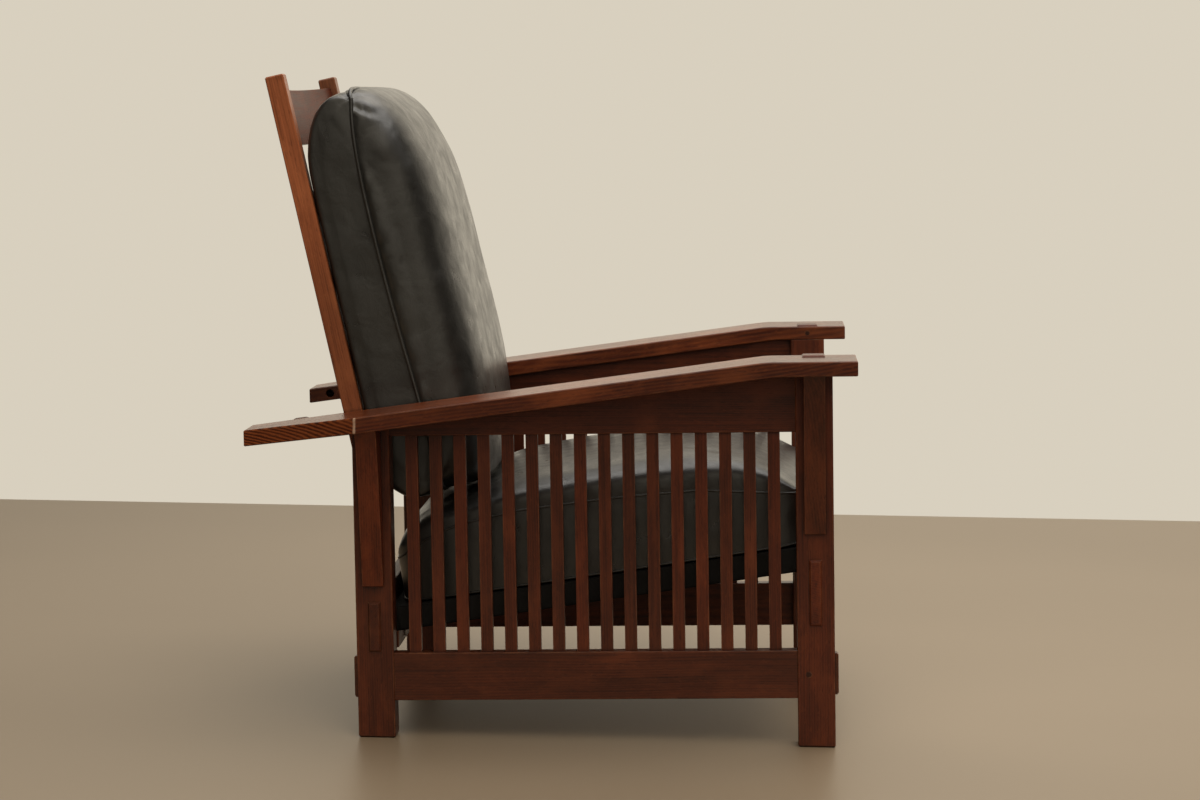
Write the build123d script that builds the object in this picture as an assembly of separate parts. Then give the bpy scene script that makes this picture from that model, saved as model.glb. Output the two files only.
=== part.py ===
from build123d import *
import math
import os

# Reclining armchair with a slatted oak frame. Millimetres, Z up.
# The front of the chair faces -Y and the sitter's left is +X.
# The side frames lean back a little, so the frame is drawn level in its own
# space and then tilted. The back is drawn upright about its hinge pins.

# Stance
frame_tilt = 1.57
back_lean = 13.5
hinge_above_deck = 106.85

# Legs
leg_depth = 57.0
leg_width = 46.0
leg_spacing = 676.2
frame_half_width = 341.0
foot_bevel = 3.0
leg_edge_bevel = 1.2

# Rails between the legs of one side
rail_setback = 2.5
rail_thickness = 25.0
lower_rail_bottom = 67.0
lower_rail_height = 74.0
upper_rail_height = 90.6
rail_edge_bevel = 1.0
side_tenon_thickness = 18.0
side_tenon_shoulder = 5.0
side_tenon_proud = 5.5
upper_tenon_length = 24.0
upper_tenon_shoulder = 2.5
tenon_bevel = 2.5
tenon_pin_radius = 4.5
tenon_pin_length = 21.0
tenon_pin_proud = 0.6
tenon_pin_offset = 11.5

# Slats
slat_count = 16
slat_width = 18.5
slat_thickness = 12.0
slat_end_gap = 23.825
slat_housing = 12.0

# Rails across the chair
cross_rail_thickness = 22.0
front_rail_bottom = 169.0
front_rail_height = 122.0
front_tenon_shoulder = 10.5
rear_rail_bottom = 136.0
rear_rail_height = 93.0
rear_tenon_shoulder = 8.0
cross_tenon_thickness = 19.0
cross_tenon_proud = 4.5

# Arms
arm_width = 123.0
arm_inner_setback = 1.0
arm_height = 589.7
arm_thickness = 24.4
arm_front_thickness = 22.6
arm_front_overhang = 36.2
arm_rear_overhang = 160.4
arm_flat_length = 137.0
arm_slope = 7.085
arm_bend_radius = 200.0
arm_cut_length = 175.0
arm_tip_width = 79.0
arm_edge_bevel = 1.5
arm_tenon_depth = 35.0
arm_tenon_width = 38.0
arm_tenon_proud = 2.8
arm_tenon_bevel = 2.2
rear_arm_tenon_height = 12.0
arm_pin_radius = 4.0
arm_pin_length = 30.0
arm_pin_proud = 0.5

# Adjusting pegs and their holes
hole_count = 4
hole_pitch = 34.0
hole_from_tip = 36.0
hole_depth = 58.0
peg_radius = 7.0
peg_clearance = 0.08
peg_row = 3
peg_head_length = 32.0
peg_head_height = 20.0
peg_head_thickness = 14.0
peg_end_gap = 3.0
peg_post_gap = 2.0
peg_tip_bevel = 1.5

# Corbels
corbel_width = 32.0
corbel_foot_gap = 25.04
corbel_foot = 10.0
corbel_setback = 12.0
corbel_flare_reach = 17.0
corbel_flare_height = 40.0
corbel_bevel = 1.5

# Seat deck
cleat_depth = 20.0
cleat_height = 24.0
cleat_screw_radius = 2.5
cleat_screw_head_radius = 5.0
cleat_screw_head_height = 2.5
cleat_screw_length = 30.0
cleat_screw_count = 4
deck_front_rise = 4.41
deck_rear_drop = 26.11
deck_thickness = 38.0
deck_side_gap = 5.0
deck_clearance = 0.5
deck_skin = 2.0
deck_rail_width = 46.0
strap_thickness = 2.0
strap_width = 50.0
long_strap_count = 7
cross_strap_count = 7

# Hinge
hinge_pin_radius = 6.0
hinge_clearance = 0.05
hinge_pin_depth = 34.0
washer_radius = 14.0
washer_thickness = 1.9
washer_gap = 0.05

# Back frame
post_width = 30.0
post_depth = 28.5
post_above_hinge = 686.0
post_below_hinge = 24.0
post_end_radius = 10.0
post_edge_bevel = 1.2
post_top_bevel = 2.0
crest_height = 89.0
crest_below_top = 17.3
back_slat_height = 48.0
back_slat_gap = 77.0
back_slat_count = 4
back_slat_thickness = 12.0
back_slat_bow = 24.0
back_slat_setback = 10.0
back_tenon_length = 12.0
back_tenon_shoulder = 8.0
back_tenon_thickness = 8.0

# Seat cushion
seat_side_gap = 4.0
seat_front_overhang = 37.5
seat_rear_setback = 14.5
seat_side_height = 166.0
seat_crown_height = 188.0
seat_side_radius = 26.0
seat_foot_radius = 10.0
seat_crown_radius = 560.0

# Back cushion
back_side_inset = 8.0
back_cushion_depth = 206.0
back_cushion_bottom = 6.0
back_cushion_below_top = 38.0
back_top_front_radius = 138.0
back_top_rear_radius = 58.0
back_bottom_front_radius = 50.0
back_bottom_rear_radius = 34.0
back_crown_radius = 900.0

# Overrun for cuts
overrun = 20.0

# Sections of the seat cushion from the rear to the front: place along the
# deck as a share of the rear or front half, then half width, foot height,
# side height and crown height as shares of the largest ones.
seat_section_shares = [
    (1.000, 0.895, 0.087, 0.651, 0.620),
    (0.955, 0.965, 0.021, 0.807, 0.742),
    (0.810, 0.996, 0.000, 0.855, 0.788),
    (0.450, 1.000, 0.000, 0.873, 0.822),
    (0.385, 1.000, 0.000, 0.892, 0.850),
    (0.310, 1.000, 0.000, 0.988, 0.973),
    (0.220, 1.000, 0.000, 1.000, 0.995),
    (-0.035, 1.000, 0.000, 0.994, 1.000),
    (-0.300, 1.000, 0.000, 0.946, 0.955),
    (-0.510, 1.000, 0.000, 0.886, 0.885),
    (-0.830, 0.998, 0.000, 0.675, 0.775),
    (-0.905, 0.990, 0.000, 0.572, 0.668),
    (-0.970, 0.955, 0.028, 0.506, 0.552),
    (-1.000, 0.895, 0.091, 0.404, 0.440),
]

# Sections of the back cushion from the centre to one side: place across,
# then rear, front foot, front middle and front top as shares of the depth,
# and bottom and top as shares of the height.
back_section_shares = [
    (0.000, 0.000, 0.925, 1.000, 0.962, 0.000, 1.000),
    (0.420, 0.000, 0.922, 0.992, 0.956, 0.001, 0.998),
    (0.740, 0.000, 0.905, 0.965, 0.932, 0.004, 0.992),
    (0.890, 0.000, 0.862, 0.915, 0.885, 0.012, 0.982),
    (0.945, 0.000, 0.802, 0.850, 0.824, 0.023, 0.969),
    (0.975, 0.060, 0.735, 0.778, 0.755, 0.036, 0.957),
    (1.000, 0.180, 0.640, 0.675, 0.655, 0.052, 0.940),
]
back_middle_share = 0.48
seat_crown_flat_share = 0.5

tilt_tangent = math.tan(math.radians(frame_tilt))
slope_tangent = math.tan(math.radians(arm_slope))
slope_cosine = math.cos(math.radians(arm_slope))

front_leg_y = -leg_spacing / 2
rear_leg_y = leg_spacing / 2
leg_inner = frame_half_width - leg_width
arm_inner = leg_inner + arm_inner_setback
arm_half_width = arm_inner + arm_width
arm_front_y = front_leg_y - leg_depth / 2 - arm_front_overhang
arm_rear_y = rear_leg_y + leg_depth / 2 + arm_rear_overhang
bend_y = arm_front_y + arm_flat_length
slope_drop = arm_thickness / slope_cosine
under_bend_y = bend_y - (slope_drop - arm_front_thickness) / slope_tangent
rail_outer = frame_half_width - rail_setback
rail_inner = rail_outer - rail_thickness
rail_middle = (rail_outer + rail_inner) / 2
lower_rail_top = lower_rail_bottom + lower_rail_height
upper_rail_bottom = arm_height - arm_front_thickness - upper_rail_height
slat_room = leg_spacing - leg_depth - slat_end_gap - slat_end_gap
slat_pitch = (slat_room - slat_width) / (slat_count - 1)
corbel_reach = arm_half_width - frame_half_width - corbel_setback
corbel_taper_reach = corbel_reach - corbel_flare_reach
front_rail_top = front_rail_bottom + front_rail_height
rear_rail_top = rear_rail_bottom + rear_rail_height
cross_rail_face = rear_leg_y - cross_rail_thickness / 2
deck_front_height = front_rail_top + deck_front_rise
deck_rear_height = rear_rail_top - deck_rear_drop
deck_tangent = (deck_front_height - deck_rear_height) / (cross_rail_face + cross_rail_face)
deck_slope = math.degrees(math.atan(deck_tangent))
deck_cosine = math.cos(math.radians(deck_slope))
deck_centre_height = (deck_front_height + deck_rear_height) / 2
deck_room = cross_rail_face - deck_clearance
deck_half_width = leg_inner - deck_side_gap
deck_half_length = deck_room / deck_cosine - deck_thickness * deck_tangent
hinge_height = deck_centre_height + hinge_above_deck
seat_half_width = leg_inner - seat_side_gap
seat_front = deck_half_length + seat_front_overhang
seat_rear = deck_half_length - seat_rear_setback
post_outer = leg_inner - washer_thickness - washer_gap - washer_gap
post_inner = post_outer - post_width
back_half_width = post_outer - back_side_inset
back_cushion_top = post_above_hinge - back_cushion_below_top
hole_radius = peg_radius + peg_clearance


def arm_top_at(y):
    return arm_height - slope_tangent * max(y - bend_y, 0)


def arm_under_at(y):
    flat = arm_height - arm_front_thickness
    sloped = arm_height - slope_drop - slope_tangent * (y - bend_y)
    return min(flat, sloped)


def arm_middle_at(y):
    return arm_top_at(y) - slope_drop / 2


def block(x_span, y_span, z_span):
    size = [high - low for low, high in (x_span, y_span, z_span)]
    low = [span[0] for span in (x_span, y_span, z_span)]
    return Pos(*low) * Box(*size, align=(Align.MIN, Align.MIN, Align.MIN))


def side_board(points, x_from, thickness):
    face = Plane.YZ * make_face(Polyline(*points, close=True))
    return Pos(x_from, 0, 0) * extrude(face, amount=thickness)


def rod(radius, length, start):
    bar = Cylinder(radius, length, align=(Align.CENTER, Align.CENTER, Align.MIN))
    return Pos(*start) * Rot(0, 90, 0) * bar


def upright_edges(shape):
    return shape.edges().filter_by(Axis.Z)


def left_of(shape):
    return mirror(shape, about=Plane.YZ)


def corner(before, point, after, radius):
    here = Vector(*point)
    back = (Vector(*before) - here).normalized()
    ahead = (Vector(*after) - here).normalized()
    half = math.radians(back.get_angle(ahead)) / 2
    reach = radius / math.tan(half)
    centre = here + (back + ahead).normalized() * (radius / math.sin(half))
    start = here + back * reach
    end = here + ahead * reach
    middle = centre + (here - centre).normalized() * radius
    return start, middle, end


def rounded_wire(points, radii):
    count = len(points)
    arcs = []
    for place in range(count):
        after = points[(place + 1) % count]
        arcs.append(corner(points[place - 1], points[place], after, radii[place]))
    edges = []
    for place in range(count):
        start, middle, end = arcs[place]
        edges.append(Edge.make_three_point_arc(start, middle, end))
        edges.append(Edge.make_line(end, arcs[(place + 1) % count][0]))
    return Wire(edges)


# Arm board
def arm_top_points():
    rear_top = arm_top_at(arm_rear_y)
    return [(arm_front_y, arm_height), (bend_y, arm_height), (arm_rear_y, rear_top)]


def arm_under_points():
    flat = arm_height - arm_front_thickness
    rear_under = arm_top_at(arm_rear_y) - slope_drop
    return [(arm_rear_y, rear_under), (under_bend_y, flat), (arm_front_y, flat)]


def bent_profile(points, bends):
    outline = make_face(Polyline(*points, close=True))
    chosen = []
    for y, z in bends:
        near = outline.vertices().sort_by_distance((y, z, 0))
        chosen.append(near[0])
    return Plane.YZ * fillet(chosen, arm_bend_radius)


def arm_blank():
    flat = arm_height - arm_front_thickness
    bends = [(bend_y, arm_height), (under_bend_y, flat)]
    profile = bent_profile(arm_top_points() + arm_under_points(), bends)
    return Pos(-arm_half_width, 0, 0) * extrude(profile, amount=arm_width)


def space_over_arm_underside():
    high = arm_height + overrun
    flat = arm_height - arm_front_thickness
    points = arm_under_points() + [(arm_front_y, high), (arm_rear_y, high)]
    profile = bent_profile(points, [(under_bend_y, flat)])
    wide = frame_half_width + arm_width
    return Pos(-wide, 0, 0) * extrude(profile, amount=wide + wide)


def arm_rear_cut():
    start = (-arm_half_width, arm_rear_y - arm_cut_length)
    tip = (-arm_inner - arm_tip_width, arm_rear_y)
    out = -arm_half_width - overrun
    rise_x = start[0] - (tip[0] - start[0]) * overrun / arm_cut_length
    far_x = tip[0] + (tip[0] - start[0]) * overrun / arm_cut_length
    corners = [(rise_x, start[1] - overrun), (far_x, tip[1] + overrun)]
    corners += [(out, tip[1] + overrun), (out, start[1] - overrun)]
    face = make_face(Polyline(*corners, close=True))
    return extrude(face, amount=arm_height + overrun)


def hole_place(number):
    y = arm_rear_y - hole_from_tip - (hole_count - number) * hole_pitch
    return y, arm_middle_at(y)


def peg_hole(number):
    y, z = hole_place(number)
    start = (-arm_inner - hole_depth, y, z)
    return rod(hole_radius, hole_depth + overrun, start)


def arm_tenon_block(leg_y, top, depth, bevel):
    middle = frame_half_width - leg_width / 2
    x_span = (-middle - arm_tenon_width / 2, -middle + arm_tenon_width / 2)
    y_span = (leg_y - arm_tenon_depth / 2, leg_y + arm_tenon_depth / 2)
    shape = block(x_span, y_span, (top - depth, top))
    if bevel:
        shape = chamfer(shape.faces().sort_by(Axis.Z)[-1].edges(), bevel)
    return shape


def front_arm_tenon():
    depth = arm_front_thickness + arm_tenon_proud
    return arm_tenon_block(front_leg_y, arm_height + arm_tenon_proud, depth, arm_tenon_bevel)


def rear_arm_tenon():
    under = arm_under_at(rear_leg_y + arm_tenon_depth / 2)
    depth = rear_arm_tenon_height + leg_depth * slope_tangent
    return arm_tenon_block(rear_leg_y, under + rear_arm_tenon_height, depth, 0)


def arm_pin_bar():
    z = arm_height - arm_front_thickness / 2
    start = (-arm_inner - arm_pin_length, front_leg_y, z)
    return rod(arm_pin_radius, arm_pin_length + arm_pin_proud, start)


def long_edges(shape, length):
    return [edge for edge in shape.edges() if edge.length > length]


def right_arm_shape():
    board = arm_blank() - arm_rear_cut()
    board = chamfer(long_edges(board, arm_flat_length / 2), arm_edge_bevel)
    board = board - front_arm_tenon() - rear_arm_tenon() - arm_pin_bar()
    for number in range(1, hole_count + 1):
        board = board - peg_hole(number)
    return board


# Legs
def leg_post(leg_y, top):
    x_span = (-frame_half_width, -leg_inner)
    y_span = (leg_y - leg_depth / 2, leg_y + leg_depth / 2)
    shape = block(x_span, y_span, (-overrun, top)) - space_under_floor()
    shape = chamfer(shape.faces().sort_by(Axis.Z)[0].edges(), foot_bevel)
    return chamfer(upright_edges(shape), leg_edge_bevel)


def space_under_floor():
    reach = leg_spacing
    points = [(-reach, -reach * tilt_tangent), (reach, reach * tilt_tangent)]
    points += [(reach, -leg_spacing), (-reach, -leg_spacing)]
    wide = frame_half_width + overrun
    return side_board(points, -wide, wide + wide)


def lower_tenon_bar():
    thick = side_tenon_thickness / 2
    x_span = (-rail_middle - thick, -rail_middle + thick)
    reach = leg_spacing / 2 + leg_depth / 2 + side_tenon_proud
    low = lower_rail_bottom + side_tenon_shoulder
    high = lower_rail_top - side_tenon_shoulder
    bar = block(x_span, (-reach, reach), (low, high))
    ends = bar.faces().sort_by(Axis.Y)
    return chamfer(list(ends[0].edges()) + list(ends[-1].edges()), tenon_bevel)


def upper_tenon_bar():
    thick = side_tenon_thickness / 2
    x_span = (-rail_middle - thick, -rail_middle + thick)
    reach = leg_spacing / 2 - leg_depth / 2 + upper_tenon_length
    high = arm_height
    low = upper_rail_bottom + upper_tenon_shoulder
    bar = block(x_span, (-reach, reach), (low, high))
    lowered = Pos(0, 0, -upper_tenon_shoulder) * space_over_arm_underside()
    return bar - lowered


def cross_tenon_bar(leg_y, bottom, height, shoulder):
    thick = cross_tenon_thickness / 2
    reach = frame_half_width + cross_tenon_proud
    y_span = (leg_y - thick, leg_y + thick)
    bar = block((-reach, reach), y_span, (bottom + shoulder, bottom + height - shoulder))
    ends = bar.faces().sort_by(Axis.X)
    return chamfer(list(ends[0].edges()) + list(ends[-1].edges()), tenon_bevel)


def front_tenon_bar():
    sizes = (front_rail_bottom, front_rail_height, front_tenon_shoulder)
    return cross_tenon_bar(front_leg_y, *sizes)


def rear_tenon_bar():
    sizes = (rear_rail_bottom, rear_rail_height, rear_tenon_shoulder)
    return cross_tenon_bar(rear_leg_y, *sizes)


def tenon_pin_bar():
    z = (lower_rail_bottom + lower_rail_top) / 2
    start = (-frame_half_width - tenon_pin_proud, front_leg_y + tenon_pin_offset, z)
    return rod(tenon_pin_radius, tenon_pin_length + tenon_pin_proud, start)


def hinge_pin_bar():
    start = (-leg_inner - hinge_pin_depth, rear_leg_y, hinge_height)
    return rod(hinge_pin_radius, hinge_pin_depth + leg_inner - post_inner, start)


def right_front_leg_shape():
    leg = leg_post(front_leg_y, arm_under_at(front_leg_y))
    leg = leg + front_arm_tenon()
    return leg - lower_tenon_bar() - upper_tenon_bar() - front_tenon_bar() - tenon_pin_bar() - arm_pin_bar()


def right_rear_leg_shape():
    leg = leg_post(rear_leg_y, arm_height) - space_over_arm_underside()
    leg = leg + rear_arm_tenon()
    return leg - lower_tenon_bar() - upper_tenon_bar() - rear_tenon_bar() - hinge_pin_bar()


# Side rails and slats
def rail_span():
    reach = leg_spacing / 2 - leg_depth / 2
    return (-reach, reach)


def lower_rail_shape():
    x_span = (-rail_outer, -rail_inner)
    rail = block(x_span, rail_span(), (lower_rail_bottom, lower_rail_top))
    rail = chamfer(rail.edges().filter_by(Axis.Y), rail_edge_bevel)
    return rail + lower_tenon_bar() - slat_bars() - tenon_pin_bar()


def upper_rail_shape():
    x_span = (-rail_outer, -rail_inner)
    rail = block(x_span, rail_span(), (upper_rail_bottom, arm_height))
    low_edges = rail.faces().sort_by(Axis.Z)[0].edges().filter_by(Axis.Y)
    rail = chamfer(low_edges, rail_edge_bevel) - space_over_arm_underside()
    return rail + upper_tenon_bar() - slat_bars()


def slat_bar(place):
    y = (place - (slat_count - 1) / 2) * slat_pitch
    x_span = (-rail_middle - slat_thickness / 2, -rail_middle + slat_thickness / 2)
    y_span = (y - slat_width / 2, y + slat_width / 2)
    room = arm_under_at(y + slat_width / 2) - upper_rail_bottom
    top = upper_rail_bottom + min(slat_housing, room / 2)
    return block(x_span, y_span, (lower_rail_top - slat_housing, top))


def slat_bars():
    return [slat_bar(place) for place in range(slat_count)]


# Corbels, as long as the rear ones have room for above the rear seat tenons
def corbel_length():
    top = arm_under_at(rear_leg_y - corbel_width / 2)
    return top - rear_rail_top + rear_tenon_shoulder - corbel_foot_gap


def corbel_shape(leg_y):
    top = arm_under_at(leg_y - corbel_width / 2)
    foot = top - corbel_length()
    face_x = -frame_half_width
    flare = top - corbel_flare_height
    start = (face_x - corbel_foot, foot)
    turn = (face_x - corbel_taper_reach, flare)
    tip = (face_x - corbel_reach, top)
    lean = (corbel_taper_reach - corbel_foot, corbel_length() - corbel_flare_height)
    run = math.hypot(*lean)
    heading = (-lean[0] / run, lean[1] / run)
    outline = [Line((face_x, foot), start), Line(start, turn)]
    outline += [TangentArc(turn, tip, tangent=heading)]
    outline += [Line(tip, (face_x, top)), Line((face_x, top), (face_x, foot))]
    face = Plane.XZ * make_face(outline)
    body = Pos(0, leg_y + corbel_width / 2, 0) * extrude(face, amount=corbel_width)
    low = body.edges().group_by(Axis.Z)[0].filter_by(Axis.Y).sort_by(Axis.X)[0]
    return chamfer([low], corbel_bevel)


def right_corbel_shape(leg_y):
    tops = corbel_shape(leg_y)
    return tops - space_over_arm_underside()


# Rails across the chair
def cross_rail_shape(leg_y, bottom, height, tenon):
    y_span = (leg_y - cross_rail_thickness / 2, leg_y + cross_rail_thickness / 2)
    rail = block((-leg_inner, leg_inner), y_span, (bottom, bottom + height))
    rail = chamfer(rail.edges().filter_by(Axis.X), rail_edge_bevel)
    return rail + tenon


def front_rail_shape():
    return cross_rail_shape(front_leg_y, front_rail_bottom, front_rail_height, front_tenon_bar())


def rear_rail_shape():
    return cross_rail_shape(rear_leg_y, rear_rail_bottom, rear_rail_height, rear_tenon_bar())


# Seat deck, drawn level about its own middle and then sloped
def to_deck(shape):
    return Pos(0, 0, deck_centre_height) * Rot(-deck_slope, 0, 0) * shape


def deck_block(x_half, y_half, z_span):
    return block((-x_half, x_half), (-y_half, y_half), z_span)


def deck_cover_shape():
    low = -deck_thickness
    outer = deck_block(deck_half_width, deck_half_length, (low, 0))
    x_half = deck_half_width - deck_skin
    y_half = deck_half_length - deck_skin
    inner = deck_block(x_half, y_half, (low - overrun, -deck_skin))
    outer = chamfer(upright_edges(outer), deck_skin)
    return to_deck(outer - inner)


def deck_end_rail_shape(side):
    x_half = deck_half_width - deck_skin
    y_far = deck_half_length - deck_skin
    y_near = y_far - deck_rail_width
    top = -deck_skin - strap_thickness - strap_thickness
    y_span = (y_near, y_far) if side > 0 else (-y_far, -y_near)
    return to_deck(block((-x_half, x_half), y_span, (-deck_thickness, top)))


def deck_side_rail_shape():
    x_far = deck_half_width - deck_skin
    x_near = x_far - deck_rail_width
    y_half = deck_half_length - deck_skin - deck_rail_width
    top = -deck_skin - strap_thickness
    return to_deck(block((-x_far, -x_near), (-y_half, y_half), (-deck_thickness, top)))


def long_straps_shape():
    room = deck_half_width - deck_skin - deck_rail_width - strap_width / 2
    step = (room + room) / (long_strap_count - 1)
    y_half = deck_half_length - deck_skin
    low = -deck_skin - strap_thickness - strap_thickness
    straps = []
    for place in range(long_strap_count):
        x = place * step - room
        span = (x - strap_width / 2, x + strap_width / 2)
        strap = block(span, (-y_half, y_half), (low, low + strap_thickness))
        straps.append(to_deck(strap))
    return Compound(straps)


def cross_straps_shape():
    room = deck_half_length - deck_skin - deck_rail_width - strap_width / 2
    step = (room + room) / (cross_strap_count - 1)
    x_half = deck_half_width - deck_skin
    low = -deck_skin - strap_thickness
    straps = []
    for place in range(cross_strap_count):
        y = place * step - room
        span = (y - strap_width / 2, y + strap_width / 2)
        strap = block((-x_half, x_half), span, (low, low + strap_thickness))
        straps.append(to_deck(strap))
    return Compound(straps)


def space_over_deck_foot():
    long = leg_spacing
    low = block((-long, long), (-long, long), (-deck_thickness, long))
    return to_deck(low)


def cleat_place(side):
    middle_y = side * (cross_rail_face - cleat_depth / 2)
    seat = deck_centre_height - deck_thickness / deck_cosine
    return middle_y, seat - middle_y * deck_tangent


def cleat_shape(side):
    middle_y, top = cleat_place(side)
    y_span = (middle_y - cleat_depth / 2, middle_y + cleat_depth / 2)
    cleat = block((-leg_inner, leg_inner), y_span, (top - cleat_height, top + cleat_depth))
    return cleat - space_over_deck_foot() - cleat_screws_shape(side)


def cleat_screw(x, y, z, side):
    shank = Cylinder(cleat_screw_radius, cleat_screw_length)
    head = Cylinder(cleat_screw_head_radius, cleat_screw_head_height)
    shank = Rot(90, 0, 0) * shank
    head = Rot(90, 0, 0) * head
    reach = (cleat_screw_length + cleat_screw_head_height) / 2
    screw = shank + Pos(0, -side * reach, 0) * head
    return Pos(x, y, z) * screw


def cleat_screws_shape(side):
    middle_y, top = cleat_place(side)
    inner_y = middle_y - side * cleat_depth / 2
    y = inner_y + side * cleat_screw_length / 2
    z = top - cleat_height / 2
    step = (leg_inner + leg_inner) / cleat_screw_count
    screws = []
    for place in range(cleat_screw_count):
        x = (place - (cleat_screw_count - 1) / 2) * step
        screws.append(cleat_screw(x, y, z, side))
    return screws


# Hinge
def washer_shape():
    ring = Cylinder(washer_radius, washer_thickness, align=(Align.CENTER, Align.CENTER, Align.MIN))
    hole = Cylinder(hinge_pin_radius, washer_thickness, align=(Align.CENTER, Align.CENTER, Align.MIN))
    start = (-leg_inner + washer_gap, rear_leg_y, hinge_height)
    return Pos(*start) * Rot(0, 90, 0) * (ring - hole)


# Back frame, drawn upright about the hinge
def post_shape():
    x_span = (-post_outer, -post_inner)
    y_span = (-post_depth / 2, post_depth / 2)
    post = block(x_span, y_span, (-post_below_hinge, post_above_hinge))
    post = chamfer(upright_edges(post), post_edge_bevel)
    foot = post.faces().sort_by(Axis.Z)[0].edges().filter_by(Axis.X)
    post = fillet(foot, post_end_radius)
    post = chamfer(post.faces().sort_by(Axis.Z)[-1].edges(), post_top_bevel)
    bore = rod(hinge_pin_radius + hinge_clearance, post_width + overrun, (-post_outer - overrun / 2, 0, 0))
    post = post - bore
    for slat in all_back_slats():
        post = post - slat
    return post


def back_slat_shape(bottom, height):
    front = -post_depth / 2 + back_slat_setback
    rear = front + back_slat_thickness
    bow = back_slat_bow
    half = post_inner
    outline = [ThreePointArc((-half, front), (0, front + bow), (half, front))]
    outline += [Line((half, front), (half, rear))]
    outline += [ThreePointArc((half, rear), (0, rear + bow), (-half, rear))]
    outline += [Line((-half, rear), (-half, front))]
    board = Pos(0, 0, bottom) * extrude(make_face(outline), amount=height)
    middle = (front + rear) / 2
    y_span = (middle - back_tenon_thickness / 2, middle + back_tenon_thickness / 2)
    z_span = (bottom + back_tenon_shoulder, bottom + height - back_tenon_shoulder)
    end = half + back_tenon_length
    right = block((-end, -half), y_span, z_span)
    return board + right + left_of(right)


def back_slat_places():
    top = post_above_hinge - crest_below_top
    places = [(top - crest_height, crest_height)]
    for number in range(back_slat_count):
        top = places[-1][0] - back_slat_gap
        places.append((top - back_slat_height, back_slat_height))
    return places


def all_back_slats():
    return [back_slat_shape(*place) for place in back_slat_places()]


def to_back(shape):
    return Pos(0, rear_leg_y, hinge_height) * Rot(frame_tilt - back_lean, 0, 0) * shape


# Pegs
def peg_shape(number):
    y, z = hole_place(number)
    inner = -post_inner + peg_post_gap
    start = -arm_inner - hole_depth + peg_end_gap
    shaft = rod(peg_radius, inner - start, (start, y, z))
    shaft = chamfer(shaft.edges().sort_by(Axis.X)[0], peg_tip_bevel)
    flat = peg_head_length - peg_head_height
    profile = Plane.YZ * SlotCenterToCenter(flat, peg_head_height)
    head = extrude(profile, amount=peg_head_thickness)
    return shaft + Pos(inner, y, z) * Rot(-arm_slope, 0, 0) * head


# Cushions
def seat_section(share):
    place, wide, foot, side, crown = share
    along = place * (seat_rear if place > 0 else seat_front)
    half = wide * seat_half_width
    low = foot * seat_side_height
    high = side * seat_side_height
    top = crown * seat_crown_height
    points = [(-half, along, low), (half, along, low), (half, along, high)]
    points += [(half * seat_crown_flat_share, along, top)]
    points += [(-half * seat_crown_flat_share, along, top), (-half, along, high)]
    radii = [seat_foot_radius, seat_foot_radius, seat_side_radius]
    radii += [seat_crown_radius, seat_crown_radius, seat_side_radius]
    return rounded_wire(points, radii)


def seat_cushion_shape():
    sections = [seat_section(share) for share in seat_section_shares]
    return to_deck(Solid.make_loft(sections, True))


def back_section(share, side):
    across, rear, foot, middle, head, low, high = share
    x = side * across * back_half_width
    tall = back_cushion_top + back_cushion_bottom
    bottom = low * tall - back_cushion_bottom
    top = high * tall - back_cushion_bottom
    waist = bottom + (top - bottom) * back_middle_share
    deep = [-post_depth / 2 - value * back_cushion_depth for value in (rear, foot, middle, head)]
    points = [(x, deep[0], bottom), (x, deep[1], bottom), (x, deep[2], waist)]
    points += [(x, deep[3], top), (x, deep[0], top)]
    room = (deep[0] - deep[3]) / ((1 - back_section_shares[0][1]) * back_cushion_depth)
    radii = [back_bottom_rear_radius, back_bottom_front_radius, back_crown_radius]
    radii += [back_top_front_radius, back_top_rear_radius]
    radii = [radius * room for radius in radii]
    return rounded_wire(points, radii)


def back_cushion_shape():
    right = [back_section(share, -1) for share in reversed(back_section_shares)]
    left = [back_section(share, 1) for share in back_section_shares[1:]]
    return Solid.make_loft(right + left, True)


# All pieces in the frame's own space, by name
def pair(pieces, name, shape):
    pieces["right_" + name] = shape
    pieces["left_" + name] = left_of(shape)


def frame_pieces():
    pieces = {}
    pair(pieces, "front_leg", right_front_leg_shape())
    pair(pieces, "rear_leg", right_rear_leg_shape())
    pair(pieces, "lower_side_rail", lower_rail_shape())
    pair(pieces, "upper_side_rail", upper_rail_shape())
    pair(pieces, "side_slats", Compound(slat_bars()))
    pair(pieces, "arm", right_arm_shape())
    pair(pieces, "front_corbel", right_corbel_shape(front_leg_y))
    pair(pieces, "rear_corbel", right_corbel_shape(rear_leg_y))
    pair(pieces, "tenon_pin", tenon_pin_bar())
    pair(pieces, "arm_pin", arm_pin_bar())
    pair(pieces, "hinge_pin", hinge_pin_bar())
    pair(pieces, "hinge_washer", washer_shape())
    pair(pieces, "peg", peg_shape(peg_row))
    return pieces


def seat_pieces():
    pieces = {}
    pieces["front_seat_rail"] = front_rail_shape() - cleat_screws_shape(-1)
    pieces["rear_seat_rail"] = rear_rail_shape() - cleat_screws_shape(1)
    pieces["front_seat_cleat"] = cleat_shape(-1)
    pieces["rear_seat_cleat"] = cleat_shape(1)
    pieces["front_cleat_screws"] = Compound(cleat_screws_shape(-1))
    pieces["rear_cleat_screws"] = Compound(cleat_screws_shape(1))
    pieces["deck_front_rail"] = deck_end_rail_shape(-1)
    pieces["deck_rear_rail"] = deck_end_rail_shape(1)
    pieces["deck_right_rail"] = deck_side_rail_shape()
    pieces["deck_left_rail"] = left_of(deck_side_rail_shape())
    pieces["deck_long_straps"] = long_straps_shape()
    pieces["deck_cross_straps"] = cross_straps_shape()
    pieces["deck_cover"] = deck_cover_shape()
    pieces["seat_cushion"] = seat_cushion_shape()
    return pieces


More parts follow.
